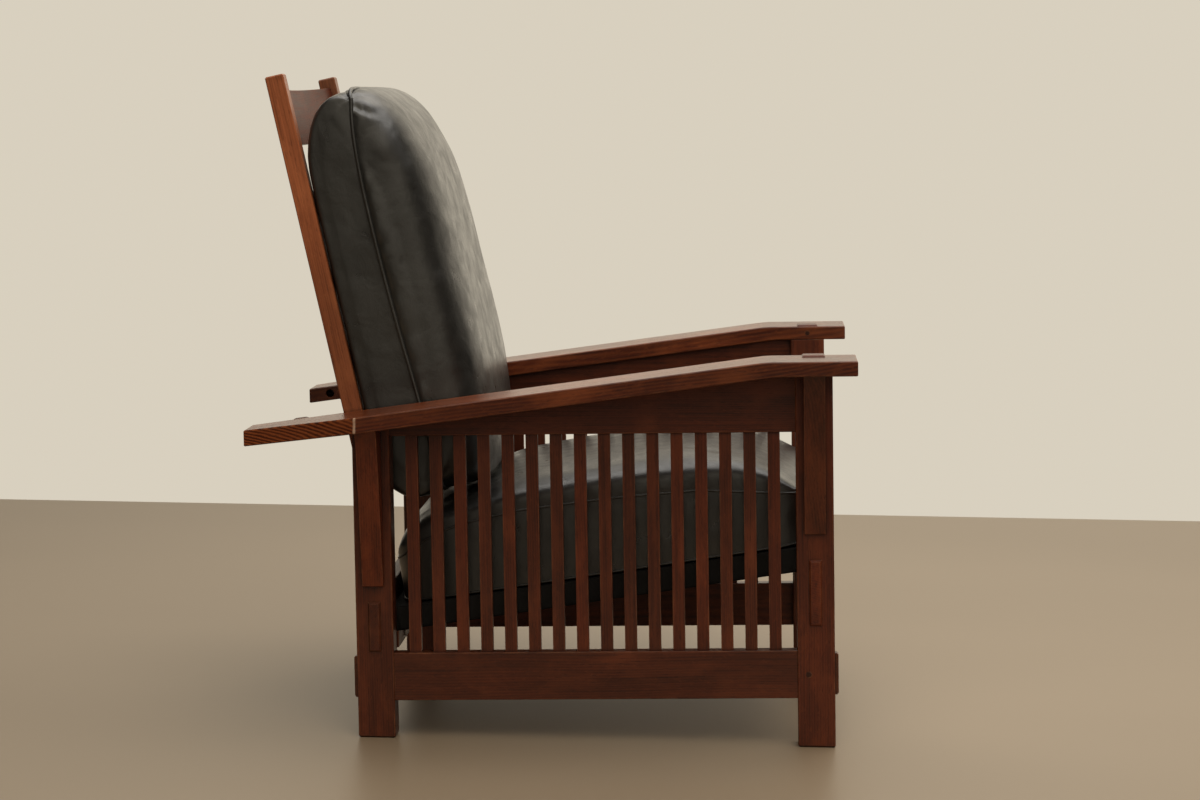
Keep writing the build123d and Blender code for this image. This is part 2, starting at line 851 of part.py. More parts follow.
def back_pieces():
    pieces = {}
    post = post_shape()
    pieces["right_back_post"] = post
    pieces["left_back_post"] = left_of(post)
    names = ["crest_rail"]
    for number in range(back_slat_count):
        names.append("back_slat_" + str(number + 1))
    for name, slat in zip(names, all_back_slats()):
        pieces[name] = slat
    pieces["back_cushion"] = back_cushion_shape()
    return {name: to_back(shape) for name, shape in pieces.items()}


# Place the chair on the floor with its middle over the origin
def to_floor(shape, middle):
    return Pos(0, -middle, 0) * Rot(-frame_tilt, 0, 0) * shape


def floor_middle():
    bounds = (Rot(-frame_tilt, 0, 0) * arm_blank()).bounding_box()
    return (bounds.min.Y + bounds.max.Y) / 2


def joint_point(y, z, middle):
    tilt = math.radians(frame_tilt)
    place_y = y * math.cos(tilt) + z * math.sin(tilt) - middle
    return place_y, z * math.cos(tilt) - y * math.sin(tilt)


def main():
    os.makedirs("parts", exist_ok=True)
    middle = floor_middle()
    pieces = {**frame_pieces(), **seat_pieces(), **back_pieces()}
    for name, shape in pieces.items():
        export_step(to_floor(shape, middle), "parts/" + name + ".step")
    print("pieces", len(pieces), "middle", round(middle, 4))
    print("hinge y z", joint_point(rear_leg_y, hinge_height, middle))
    print("peg y z", joint_point(*hole_place(peg_row), middle))
    print("peg travel", hole_depth - peg_end_gap)


main()
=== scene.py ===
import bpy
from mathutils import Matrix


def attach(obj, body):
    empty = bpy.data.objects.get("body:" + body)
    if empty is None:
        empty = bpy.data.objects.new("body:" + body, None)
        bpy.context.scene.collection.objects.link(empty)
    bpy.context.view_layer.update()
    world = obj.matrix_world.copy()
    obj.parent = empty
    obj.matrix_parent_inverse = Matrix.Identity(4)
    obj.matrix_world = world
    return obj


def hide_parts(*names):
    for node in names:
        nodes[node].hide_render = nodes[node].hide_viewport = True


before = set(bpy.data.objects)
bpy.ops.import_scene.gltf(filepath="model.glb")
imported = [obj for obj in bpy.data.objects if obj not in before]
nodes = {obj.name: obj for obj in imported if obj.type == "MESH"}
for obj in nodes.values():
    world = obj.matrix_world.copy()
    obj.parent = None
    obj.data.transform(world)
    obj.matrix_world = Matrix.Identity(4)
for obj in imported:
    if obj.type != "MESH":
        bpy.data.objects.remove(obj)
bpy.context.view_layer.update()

import math

import bpy
import numpy as np
from mathutils import Matrix, Vector

scene = bpy.context.scene

# The two spaces that the cushions are drawn in, as in the model of the frame.
HINGE = (0.2711529, 0.3466030)
BACK_LEAN = math.radians(13.5)
POST_HALF_DEPTH = 0.01425
DECK_CENTRE = (-0.06975, 0.24906)
DECK_SLOPE = math.radians(9.62)
FRAME_TILT = math.radians(1.57)
ARM_SLOPE = math.radians(7.085 + 1.57)


def back_points(x, forward, up):
    """World places of points given across, forward of the posts' front and up them."""
    sine, cosine = math.sin(BACK_LEAN), math.cos(BACK_LEAN)
    ahead = forward + POST_HALF_DEPTH
    y = HINGE[0] + up * sine - ahead * cosine
    z = HINGE[1] + up * cosine + ahead * sine
    return np.stack([x, y, z], axis=-1)


def seat_points(x, along, high):
    """World places of points given across, along the deck to the rear and over it."""
    sine, cosine = math.sin(DECK_SLOPE), math.cos(DECK_SLOPE)
    y = DECK_CENTRE[0] + along * cosine + high * sine
    z = DECK_CENTRE[1] - along * sine + high * cosine
    return np.stack([x, y, z], axis=-1)


# Camera and stage

# The camera that the photograph's measured edges lead to.
CAMERA_PLACE = (-4.8746, -0.3132, 0.97817)
CAMERA_YAW, CAMERA_PITCH, CAMERA_ROLL = 0.052252, 0.09866, 0.011423
CAMERA_LENS, CAMERA_SENSOR, CAMERA_REACH = 90.144, 36.0, 60.0

FLOOR_SIZE = (4.6, 9.0)
WALL_COLOUR = (0.69, 0.63, 0.52, 1.0)
ROOM_COLOUR = (0.78, 0.70, 0.56, 1.0)

# The bright parts of the room, which light and are mirrored but aren't seen:
# a direction, the nearness to it where the glow starts and where it is full,
# and the strength at both.
GLOWS = (
    ((0.97, -0.14, 0.17), (0.68, 1.00, 0.03, 1.30)),
    ((-0.75, -0.18, 0.63), (0.60, 0.96, 0.0, 0.90)),
)

# Name, place, target, size, power, colour, and whether gloss mirrors it.
LIGHTS = (
    ("ceiling", (0.3, -0.4, 3.1), (0.0, -0.1, 0.4), (3.4, 3.0), 66.0, (1.0, 0.96, 0.90), True),
    ("front_window", (3.1, -1.9, 1.9), (0.0, 0.0, 0.6), (2.2, 1.8), 17.0, (1.0, 0.96, 0.90), False),
    ("camera_side", (-2.9, -0.5, 2.9), (-0.3, 0.0, 0.5), (1.8, 2.6), 23.0, (1.0, 0.95, 0.88), False),
)


def make_camera():
    yaw, pitch, roll = CAMERA_YAW, CAMERA_PITCH, CAMERA_ROLL
    forward = Vector((math.cos(pitch) * math.cos(yaw), math.cos(pitch) * math.sin(yaw), -math.sin(pitch)))
    level = Vector((math.sin(yaw), -math.cos(yaw), 0.0))
    above = level.cross(forward)
    right = level * math.cos(roll) + above * math.sin(roll)
    up = above * math.cos(roll) - level * math.sin(roll)
    data = bpy.data.cameras.new("camera")
    data.sensor_width = CAMERA_SENSOR
    data.lens = CAMERA_LENS
    data.clip_end = CAMERA_REACH
    camera = bpy.data.objects.new("camera", data)
    scene.collection.objects.link(camera)
    turn = Matrix((right, up, -forward)).transposed().to_4x4()
    camera.matrix_world = Matrix.Translation(CAMERA_PLACE) @ turn
    scene.camera = camera


def area_light(name, place, target, size, power, colour, mirrored):
    data = bpy.data.lights.new(name, "AREA")
    data.shape = "RECTANGLE"
    data.size, data.size_y = size
    data.energy = power
    data.color = colour
    light = bpy.data.objects.new(name, data)
    light.location = place
    aim = Vector(target) - Vector(place)
    light.rotation_euler = aim.to_track_quat("-Z", "Y").to_euler()
    light.visible_glossy = mirrored
    scene.collection.objects.link(light)


def make_stage():
    bpy.ops.mesh.primitive_plane_add(size=1.0, location=(0.0, 0.0, 0.0))
    floor = bpy.context.object
    floor.name = "floor"
    floor.scale = (*FLOOR_SIZE, 1.0)
    floor.data.materials.append(floor_material())
    make_room()
    for light in LIGHTS:
        area_light(*light)
    scene.view_settings.view_transform = "Standard"


def make_room():
    """A plain pale wall for the camera, and soft glows for everything else."""
    world = bpy.data.worlds.new("studio")
    scene.world = world
    world.use_nodes = True
    tree = world.node_tree
    tree.nodes.clear()
    out = tree.nodes.new("ShaderNodeOutputWorld")
    mix = tree.nodes.new("ShaderNodeMixShader")
    path = tree.nodes.new("ShaderNodeLightPath")
    seen = tree.nodes.new("ShaderNodeBackground")
    fill = tree.nodes.new("ShaderNodeBackground")
    seen.inputs["Color"].default_value = WALL_COLOUR
    seen.inputs["Strength"].default_value = 1.0
    fill.inputs["Color"].default_value = ROOM_COLOUR
    where = tree.nodes.new("ShaderNodeTexCoord")
    strength = None
    for direction, span in GLOWS:
        toward = tree.nodes.new("ShaderNodeVectorMath")
        toward.operation = "DOT_PRODUCT"
        toward.inputs[1].default_value = direction
        glow = tree.nodes.new("ShaderNodeMapRange")
        glow.interpolation_type = "SMOOTHSTEP"
        for socket, value in zip(("From Min", "From Max", "To Min", "To Max"), span):
            glow.inputs[socket].default_value = value
        tree.links.new(where.outputs["Generated"], toward.inputs[0])
        tree.links.new(toward.outputs["Value"], glow.inputs["Value"])
        if strength is None:
            strength = glow.outputs["Result"]
        else:
            total = tree.nodes.new("ShaderNodeMath")
            tree.links.new(strength, total.inputs[0])
            tree.links.new(glow.outputs["Result"], total.inputs[1])
            strength = total.outputs[0]
    tree.links.new(strength, fill.inputs["Strength"])
    tree.links.new(path.outputs["Is Camera Ray"], mix.inputs[0])
    tree.links.new(fill.outputs[0], mix.inputs[1])
    tree.links.new(seen.outputs[0], mix.inputs[2])
    tree.links.new(mix.outputs[0], out.inputs["Surface"])


# Materials

class Tree:
    """Short calls for making and linking shader nodes."""

    def __init__(self, name):
        self.material = bpy.data.materials.new(name)
        self.material.use_nodes = True
        self.tree = self.material.node_tree
        self.tree.nodes.clear()
        self.shader = self.add("ShaderNodeBsdfPrincipled")
        out = self.add("ShaderNodeOutputMaterial")
        self.link(self.shader.outputs[0], out.inputs["Surface"])

    def add(self, kind, **values):
        node = self.tree.nodes.new(kind)
        for key, value in values.items():
            setattr(node, key, value)
        return node

    def link(self, source, target):
        self.tree.links.new(source, target)

    def place(self, rotation=(0.0, 0.0, 0.0), scale=(1.0, 1.0, 1.0), source=None):
        mapping = self.add("ShaderNodeMapping")
        mapping.inputs["Rotation"].default_value = rotation
        mapping.inputs["Scale"].default_value = scale
        if source is None:
            source = self.add("ShaderNodeTexCoord").outputs["Object"]
        self.link(source, mapping.inputs["Vector"])
        return mapping.outputs["Vector"]

    def noise(self, vector, scale, detail=2.0, rough=0.5, distortion=0.0):
        node = self.add("ShaderNodeTexNoise")
        node.inputs["Scale"].default_value = scale
        node.inputs["Detail"].default_value = detail
        node.inputs["Roughness"].default_value = rough
        node.inputs["Distortion"].default_value = distortion
        self.link(vector, node.inputs["Vector"])
        return node.outputs["Fac"]

    def ramp(self, source, stops):
        node = self.add("ShaderNodeValToRGB")
        points = node.color_ramp.elements
        while len(points) < len(stops):
            points.new(0.5)
        for point, (place, colour) in zip(points, stops):
            point.position = place
            if isinstance(colour, (int, float)):
                colour = (colour, colour, colour)
            point.color = (*colour, 1.0)
        self.link(source, node.inputs["Fac"])
        return node.outputs["Color"]

    def mix(self, share, first, second, kind="MIX"):
        node = self.add("ShaderNodeMix", data_type="RGBA", blend_type=kind)
        for value, socket in zip((share, first, second), ("Factor", "A", "B")):
            self.feed(value, node.inputs[socket])
        return node.outputs["Result"]

    def feed(self, value, socket):
        if isinstance(value, bpy.types.NodeSocket):
            self.link(value, socket)
        elif isinstance(value, tuple):
            socket.default_value = (*value, 1.0)
        else:
            socket.default_value = value

    def sums(self, kind, first, second):
        node = self.add("ShaderNodeMath", operation=kind)
        self.feed(first, node.inputs[0])
        self.feed(second, node.inputs[1])
        return node.outputs[0]

    def bump(self, height, strength, distance, normal=None):
        node = self.add("ShaderNodeBump")
        node.inputs["Strength"].default_value = strength
        node.inputs["Distance"].default_value = distance
        self.link(height, node.inputs["Height"])
        if normal is not None:
            self.link(normal, node.inputs["Normal"])
        return node.outputs["Normal"]


# Stained oak.
PLAIN_RINGS = (88.0, 0.16, 0.16)
ARM_RINGS = (112.0, 0.20, 0.95)
BOARD_SPREAD = (0.06, 0.05, 0.9)
GRAIN_WAVER = (0.030, 0.030, 0.0)
PORE_SCALE, PORE_SHARE, PORE_TONE, PORE_DEPTH = (760.0, 760.0, 70.0), 0.55, 0.35, 0.00028
STREAK_SCALE = (190.0, 190.0, 4.0)
BROAD_SCALE = (10.0, 10.0, 3.0)
BLUSH_SCALE, BLUSH_SHARE = (26.0, 26.0, 11.0), 0.42
FLECK_SCALE, FLECK_SHARE, FLECK_TURN = (60.0, 300.0, 110.0), 0.20, 0.25
BOARD_TONES = [(0.0, (0.84, 0.90, 0.98)), (0.5, (1.0, 1.0, 1.0)), (1.0, (1.17, 1.04, 0.94))]
WORN_COLOUR, WORN_REACH = (0.38, 0.145, 0.062), 0.0024
# A pale spot at the arms' rear corners: rubbed stain, and a painted highlight for the glint on that edge.
RUBBED_GLINT_COLOUR, RUBBED_RAGGED = (0.62, 0.42, 0.30), 0.0030
# Reach of the painted shade that darkens the stain in corners, joints and recesses.
PAINTED_SHADE_REACH = 0.009
EDGE_ROUND = 0.0010

# Leather, from its grain to its swell.
PEBBLE_SCALE, PEBBLE_WAVER = 620.0, (0.0012, 0.0012, 0.0012)
LEATHER_DARK, LEATHER_LIGHT = (0.0135, 0.0128, 0.0115), (0.0240, 0.0226, 0.0198)
LEATHER_CREASE = (0.006, 0.006, 0.006)
GRAIN_DEPTH, SOFT_DEPTH, SWELL_DEPTH = 0.00022, 0.0020, 0.0075

WEAVE_DEPTH = 0.0004


def edge_mask(tree, radius, low, high):
    """1 near a convex or worn edge, 0 on the flat."""
    bevel = tree.add("ShaderNodeBevel", samples=4)
    bevel.inputs["Radius"].default_value = radius
    normal = tree.add("ShaderNodeNewGeometry").outputs["Normal"]
    dot = tree.add("ShaderNodeVectorMath", operation="DOT_PRODUCT")
    tree.link(bevel.outputs["Normal"], dot.inputs[0])
    tree.link(normal, dot.inputs[1])
    return tree.ramp(dot.outputs["Value"], [(low, 1.0), (high, 0.0)])


def board_tone(tree, pitch):
    """A number from 0 to 1 for each board: by object, or by place where one node holds many slats."""
    if pitch is None:
        return tree.add("ShaderNodeObjectInfo").outputs["Random"]
    parts = tree.add("ShaderNodeSeparateXYZ")
    tree.link(tree.place((FRAME_TILT, 0.0, 0.0)), parts.inputs[0])
    place = tree.sums("DIVIDE", tree.sums("ADD", parts.outputs["Y"], FIRST_SLAT), pitch)
    place = tree.sums("FLOOR", tree.sums("ADD", place, 0.5), 0.0)
    side = tree.sums("MULTIPLY", tree.sums("SIGN", parts.outputs["X"], 0.0), 31.7)
    chance = tree.add("ShaderNodeTexWhiteNoise", noise_dimensions="1D")
    tree.link(tree.sums("ADD", place, side), chance.inputs["W"])
    return chance.outputs["Value"]


def rubbed_glint_corner(tree, far, along):
    """1 beside the upright corner at both sides' given place, where the stain is rubbed off and a painted
    highlight stands in for the glint on the edge.
    """
    parts = tree.add("ShaderNodeSeparateXYZ")
    tree.link(tree.place(), parts.inputs[0])
    across = tree.sums("SUBTRACT", tree.sums("ABSOLUTE", parts.outputs["X"], 0.0), far)
    away = tree.sums("SUBTRACT", parts.outputs["Y"], along)
    square = tree.sums("ADD", tree.sums("MULTIPLY", across, across), tree.sums("MULTIPLY", away, away))
    ragged = tree.noise(tree.place(), 160.0, 3.0, 0.7)
    reach = tree.sums("ADD", tree.sums("SQRT", square, 0.0), tree.sums("MULTIPLY", ragged, RUBBED_RAGGED))
    return tree.ramp(tree.sums("MULTIPLY", reach, 100.0), [(0.22, 0.85), (0.42, 0.0)])


def oak_material(name, rotation, dark, middle, light, gloss, shift,
                 bare=False, pitch=None, rings=PLAIN_RINGS, rubbed_glint_at=None):
    """Stained oak whose grain runs along the turned space's Z.

    rings holds the rings' scale and their share on the boards' faces and on
    the cuts that face the front or the rear.
    """
    tree = Tree(name)
    tone = board_tone(tree, pitch)
    mapping = tree.place(rotation)
    mapping.node.inputs["Location"].default_value = shift
    spread = tree.add("ShaderNodeVectorMath", operation="MULTIPLY_ADD")
    spread.inputs[1].default_value = BOARD_SPREAD
    tree.link(tone, spread.inputs[0])
    tree.link(mapping, spread.inputs[2])
    mapping = spread.outputs[0]
    warp = tree.add("ShaderNodeTexNoise")
    warp.inputs["Scale"].default_value = 5.0
    warp.inputs["Detail"].default_value = 2.0
    stretched = tree.place(scale=(1.0, 1.0, 0.22), source=mapping)
    tree.link(stretched, warp.inputs["Vector"])
    shifted = tree.add("ShaderNodeVectorMath", operation="MULTIPLY_ADD")
    tree.link(warp.outputs["Color"], shifted.inputs[0])
    shifted.inputs[1].default_value = GRAIN_WAVER
    tree.link(mapping, shifted.inputs[2])
    wood = shifted.outputs[0]
    ring = tree.add("ShaderNodeTexWave", wave_type="RINGS", rings_direction="Z")
    ring.inputs["Scale"].default_value = rings[0]
    ring.inputs["Distortion"].default_value = 3.4
    ring.inputs["Detail"].default_value = 3.0
    ring.inputs["Detail Scale"].default_value = 0.7
    tree.link(tree.place(scale=(1.0, 1.0, 0.04), source=wood), ring.inputs["Vector"])
    band = tree.ramp(ring.outputs["Fac"], [(0.20, 0.0), (0.75, 0.8), (0.95, 1.0)])
    pores = tree.noise(tree.place(scale=PORE_SCALE, source=wood), 1.0, 2.0, 0.6)
    pore = tree.ramp(pores, [(0.30, 1.0), (0.41, 0.0)])
    streak = tree.noise(tree.place(scale=STREAK_SCALE, source=wood), 1.0, 4.0, 0.65)
    broad = tree.noise(tree.place(scale=BROAD_SCALE, source=mapping), 1.0, 3.0, 0.5)
    blush = tree.noise(tree.place(scale=BLUSH_SCALE, source=mapping), 1.0, 3.0, 0.55, 0.4)
    flecks = tree.noise(tree.place((0.0, FLECK_TURN, 0.0), FLECK_SCALE, source=wood), 1.0, 1.0, 0.5, 0.8)
    fleck = tree.ramp(flecks, [(0.60, 0.0), (0.69, 1.0)])
    base = tree.mix(tree.ramp(streak, [(0.32, 0.0), (0.68, 1.0)]), dark, middle)
    cut = tree.add("ShaderNodeSeparateXYZ")
    tree.link(tree.add("ShaderNodeNewGeometry").outputs["Normal"], cut.inputs[0])
    across = tree.ramp(tree.sums("ABSOLUTE", cut.outputs["Y"], 0.0), [(0.06, rings[1]), (0.22, rings[2])])
    base = tree.mix(tree.sums("MULTIPLY", band, across), base, light)
    blushed = tree.ramp(blush, [(0.46, 0.0), (0.70, 1.0)])
    base = tree.mix(tree.sums("MULTIPLY", blushed, BLUSH_SHARE), base, light)
    base = tree.mix(tree.sums("MULTIPLY", fleck, FLECK_SHARE), base, light)
    base = tree.mix(tree.sums("MULTIPLY", pore, PORE_SHARE), base, tuple(PORE_TONE * value for value in dark))
    base = tree.mix(1.0, base, tree.ramp(broad, [(0.3, 0.70), (0.7, 1.20)]), "MULTIPLY")
    base = tree.mix(1.0, base, tree.ramp(tone, BOARD_TONES), "MULTIPLY")
    if not bare:
        worn = edge_mask(tree, WORN_REACH, 0.90, 0.995)
        rub = tree.noise(tree.place(scale=(26.0, 26.0, 26.0)), 1.0, 3.0, 0.7)
        rub = tree.ramp(rub, [(0.42, 0.08), (0.68, 0.75)])
        base = tree.mix(tree.mix(1.0, worn, rub, "MULTIPLY"), base, WORN_COLOUR)
    # Rubbed stain at the arm's rear corner, and a painted highlight for the glint on that edge.
    if rubbed_glint_at is not None:
        base = tree.mix(rubbed_glint_corner(tree, *rubbed_glint_at), base, RUBBED_GLINT_COLOUR)
    # Painted shade: ambient occlusion darkens the stain in corners, joints and recesses, where shade falls.
    corners = tree.add("ShaderNodeAmbientOcclusion", samples=6)
    corners.inputs["Distance"].default_value = PAINTED_SHADE_REACH
    base = tree.mix(1.0, base, tree.ramp(corners.outputs["AO"], [(0.30, 0.38), (0.85, 1.0)]), "MULTIPLY")
    tree.link(base, tree.shader.inputs["Base Color"])
    rough = tree.ramp(streak, [(0.2, gloss), (0.8, gloss + 0.12)])
    rough = tree.mix(tree.sums("MULTIPLY", pore, 0.6), rough, (0.62, 0.62, 0.62))
    tree.link(rough, tree.shader.inputs["Roughness"])
    tree.shader.inputs["Specular IOR Level"].default_value = 0.36
    tree.shader.inputs["Coat Weight"].default_value = 0.0 if bare else 0.08
    tree.shader.inputs["Coat Roughness"].default_value = 0.16
    rounded = tree.add("ShaderNodeBevel", samples=4)
    rounded.inputs["Radius"].default_value = EDGE_ROUND
    relief = tree.sums("SUBTRACT", tree.sums("MULTIPLY", streak, 0.5), pore)
    normal = tree.bump(relief, 0.35, PORE_DEPTH, rounded.outputs["Normal"])
    tree.link(normal, tree.shader.inputs["Normal"])
    return tree.material


def leather_material():
    tree = Tree("black_leather_grain")
    where = tree.place()
    cells = tree.add("ShaderNodeTexVoronoi", feature="DISTANCE_TO_EDGE")
    cells.inputs["Scale"].default_value = PEBBLE_SCALE
    warp = tree.add("ShaderNodeVectorMath", operation="MULTIPLY_ADD")
    bend = tree.add("ShaderNodeTexNoise")
    bend.inputs["Scale"].default_value = 240.0
    tree.link(where, bend.inputs["Vector"])
    tree.link(bend.outputs["Color"], warp.inputs[0])
    warp.inputs[1].default_value = PEBBLE_WAVER
    tree.link(where, warp.inputs[2])
    tree.link(warp.outputs[0], cells.inputs["Vector"])
    pebble = tree.ramp(cells.outputs["Distance"], [(0.0, 0.0), (0.16, 1.0)])
    fine = tree.noise(where, 1900.0, 2.0, 0.6)
    soft = tree.noise(where, 30.0, 3.0, 0.55, 0.5)
    swell = tree.noise(where, 11.0, 2.0, 0.5, 0.4)
    broad = tree.noise(where, 7.0, 2.0, 0.5)
    base = tree.mix(tree.ramp(broad, [(0.3, 0.0), (0.7, 1.0)]), LEATHER_DARK, LEATHER_LIGHT)
    base = tree.mix(tree.mix(1.0, tree.ramp(pebble, [(0.0, 1.0), (0.6, 0.0)]), (0.5, 0.5, 0.5), "MULTIPLY"),
                    base, LEATHER_CREASE)
    tree.link(base, tree.shader.inputs["Base Color"])
    rough = tree.ramp(soft, [(0.3, 0.27), (0.7, 0.47)])
    tree.link(rough, tree.shader.inputs["Roughness"])
    tree.shader.inputs["Specular IOR Level"].default_value = 0.90
    tree.shader.inputs["Coat Weight"].default_value = 0.22
    tree.shader.inputs["Coat Roughness"].default_value = 0.30
    grain = tree.sums("ADD", tree.sums("MULTIPLY", pebble, 0.7), tree.sums("MULTIPLY", fine, 0.3))
    normal = tree.bump(grain, 0.30, GRAIN_DEPTH)
    normal = tree.bump(soft, 0.5, SOFT_DEPTH, normal)
    normal = tree.bump(swell, 0.5, SWELL_DEPTH, normal)
    tree.link(normal, tree.shader.inputs["Normal"])
    return tree.material


def woven_material(name, dark, light, pitch):
    """Plain-woven cloth or webbing with threads of the given pitch."""
    tree = Tree(name)
    where = tree.place(rotation=(DECK_SLOPE, 0.0, 0.0))
    waves = []
    for direction in ("X", "Y"):
        wave = tree.add("ShaderNodeTexWave", wave_type="BANDS", bands_direction=direction)
        wave.inputs["Scale"].default_value = 0.314 / pitch
        wave.inputs["Distortion"].default_value = 0.6
        tree.link(where, wave.inputs["Vector"])
        waves.append(wave.outputs["Fac"])
    weave = tree.sums("MULTIPLY", waves[0], waves[1])
    grime = tree.noise(where, 12.0, 3.0)
    base = tree.mix(tree.ramp(weave, [(0.0, 0.0), (0.6, 1.0)]), dark, light)
    base = tree.mix(1.0, base, tree.ramp(grime, [(0.3, 0.75), (0.7, 1.15)]), "MULTIPLY")
    tree.link(base, tree.shader.inputs["Base Color"])
    tree.shader.inputs["Roughness"].default_value = 0.88
    tree.shader.inputs["Specular IOR Level"].default_value = 0.2
    tree.link(tree.bump(weave, 0.6, WEAVE_DEPTH), tree.shader.inputs["Normal"])
    return tree.material


def steel_material():
    tree = Tree("screw_steel_turned")
    spots = tree.noise(tree.place(), 420.0, 3.0, 0.6)
    base = tree.mix(tree.ramp(spots, [(0.4, 0.0), (0.7, 1.0)]), (0.36, 0.35, 0.33), (0.19, 0.15, 0.11))
    tree.link(base, tree.shader.inputs["Base Color"])
    tree.shader.inputs["Metallic"].default_value = 1.0
    tree.link(tree.ramp(spots, [(0.3, 0.28), (0.7, 0.55)]), tree.shader.inputs["Roughness"])
    return tree.material


def floor_material():
    tree = Tree("pale_floor")
    where = tree.place()
    cloud = tree.noise(where, 2.2, 3.0, 0.5)
    base = tree.mix(tree.ramp(cloud, [(0.3, 0.0), (0.7, 1.0)]), (0.328, 0.246, 0.164), (0.384, 0.292, 0.198))
    tree.link(base, tree.shader.inputs["Base Color"])
    tree.shader.inputs["Roughness"].default_value = 0.42
    tree.shader.inputs["Specular IOR Level"].default_value = 0.35
    return tree.material


DARK = (0.047, 0.0090, 0.0031)
MIDDLE = (0.110, 0.0208, 0.0066)
LIGHT = (0.215, 0.048, 0.0145)
# The posts' oak is a lighter copy of the stain. It is partly a lighter wood tone and partly painted light,
# standing in for the extra light the posts catch.
LIT_POST_DARK = (0.200, 0.058, 0.0215)
LIT_POST_MIDDLE = (0.375, 0.118, 0.0460)
LIT_POST_LIGHT = (0.510, 0.180, 0.0700)
ARM_LIGHT = (0.33, 0.088, 0.026)
BARE = ((0.20, 0.125, 0.065), (0.33, 0.215, 0.12), (0.46, 0.32, 0.19))
PIN_TONE = 0.4
QUARTER = math.pi / 2
FIRST_SLAT, SLAT_PITCH = 0.35275, 0.03685
# The arms' rear corner, where the rubbed stain and its painted highlight sit.
ARM_CORNER = (0.4190, 0.2890)
DECK_RAILS = ("deck_front_rail", "deck_rear_rail", "deck_right_rail", "deck_left_rail")

# The kind of oak of each node, by the end of its name; the first that fits counts.
KINDS = (
    (("leg", "corbel"), "leg"),
    (("side_slats",), "slat"),
    (("side_rail",), "rail"),
    (("_arm",), "arm"),
    (("back_post",), "post"),
    (DECK_RAILS, "bare"),
    (("tenon_pin", "arm_pin"), "pin"),
    (("seat_rail", "crest_rail", "_pin", "_peg", "washer", "seat_cleat"), "cross"),
    (("slat_1", "slat_2", "slat_3", "slat_4"), "cross"),
)


def dress_frame():
    """Gives every carried-over node its own grain direction."""
    stain = (DARK, MIDDLE, LIGHT)
    dark_stain = tuple(tuple(PIN_TONE * value for value in tone) for tone in stain)
    level = (QUARTER + FRAME_TILT, 0.0, 0.0)
    sloping = (QUARTER + ARM_SLOPE, 0.0, 0.0)
    upright = (FRAME_TILT, 0.0, 0.0)
    across = (0.0, QUARTER, 0.0)
    oak = {
        "leg": oak_material("oak_upright", upright, *stain, 0.34, (0.21, 0.17, 0.0)),
        "slat": oak_material("oak_slat", upright, *stain, 0.36, (0.33, 0.12, 0.0), pitch=SLAT_PITCH),
        "rail": oak_material("oak_side_rail", level, *stain, 0.34, (0.24, 0.19, 0.0)),
        "arm": oak_material("oak_arm", sloping, DARK, MIDDLE, ARM_LIGHT, 0.26, (0.12, 0.31, 0.0),
                            rings=ARM_RINGS, rubbed_glint_at=ARM_CORNER),
        "cross": oak_material("oak_cross", across, *stain, 0.42, (0.18, 0.23, 0.0)),
        "pin": oak_material("oak_pin", across, *dark_stain, 0.40, (0.02, 0.03, 0.0)),
        # The posts get the lighter, painted-lit copy of the stain.
        "post": oak_material("oak_post_painted_lit", (BACK_LEAN, 0.0, 0.0), LIT_POST_DARK, LIT_POST_MIDDLE, LIT_POST_LIGHT, 0.34,
                             (0.16, 0.09, 0.0)),
        "bare": oak_material("oak_bare", across, *BARE, 0.62, (0.3, 0.2, 0.0), bare=True),
    }
    for name in nodes:
        kind = next((kind for endings, kind in KINDS if name.endswith(endings)), None)
        if kind is not None:
            dress(nodes[name], oak[kind])
    steel = steel_material()
    for name in ("front_cleat_screws", "rear_cleat_screws"):
        dress(nodes[name], steel)


def dress(piece, material):
    piece.data.materials.clear()
    piece.data.materials.append(material)
    for face in piece.data.polygons:
        face.material_index = 0


# Cushions

def spaced(curve, count):
    """Parameters from 0 to 1 that divide a curve into equal lengths."""
    fine = np.linspace(0.0, 1.0, 2000)
    points = curve(fine)
    steps = np.sqrt(np.sum(np.diff(points, axis=0) ** 2, axis=1))
    length = np.concatenate([[0.0], np.cumsum(steps)])
    return np.interp(np.linspace(0.0, length[-1], count), length, fine)


def power_edge(share, power):
    """Depth share of a pillow at a place share from the middle, 1 inside and 0 at the seam."""
    return np.maximum(1.0 - np.abs(share) ** power, 0.0) ** (1.0 / power)


def axis_places(half, depth, power, count):
    """Places from -1 to 1 that are evenly spaced over a pillow's face and side."""
    def corner(share):
        angle = share * math.pi / 2
        return np.stack([half * np.sin(angle) ** (2.0 / power),
                         depth * np.cos(angle) ** (2.0 / power)], axis=-1)

    places = np.sin(spaced(corner, count) * math.pi / 2) ** (2.0 / power)
    places[0], places[-1] = 0.0, 1.0
    return np.concatenate([-places[:0:-1], places])


def rounded_square(a, b, power):
    """Moves the points of a square onto a rounded square of the same half width."""
    reach = np.maximum(np.abs(a), np.abs(b))
    span = (np.abs(a) ** power + np.abs(b) ** power) ** (1.0 / power)
    scale = np.where(span > 1e-9, reach / np.maximum(span, 1e-9), 1.0)
    return a * scale, b * scale


def mesh_piece(name, points, faces):
    data = bpy.data.meshes.new(name)
    data.from_pydata([tuple(p) for p in points], [], faces)
    data.update()
    piece = bpy.data.objects.new(name, data)
    scene.collection.objects.link(piece)
    for face in data.polygons:
        face.use_smooth = True
    return piece


def sheet_faces(index, flip=False):
    """Quads of a grid of vertex numbers."""
    faces = []
    rows, columns = index.shape
    for i in range(rows - 1):
        for j in range(columns - 1):
            face = (index[i, j], index[i + 1, j], index[i + 1, j + 1], index[i, j + 1])
            faces.append(tuple(int(v) for v in (face[::-1] if flip else face)))
    return faces


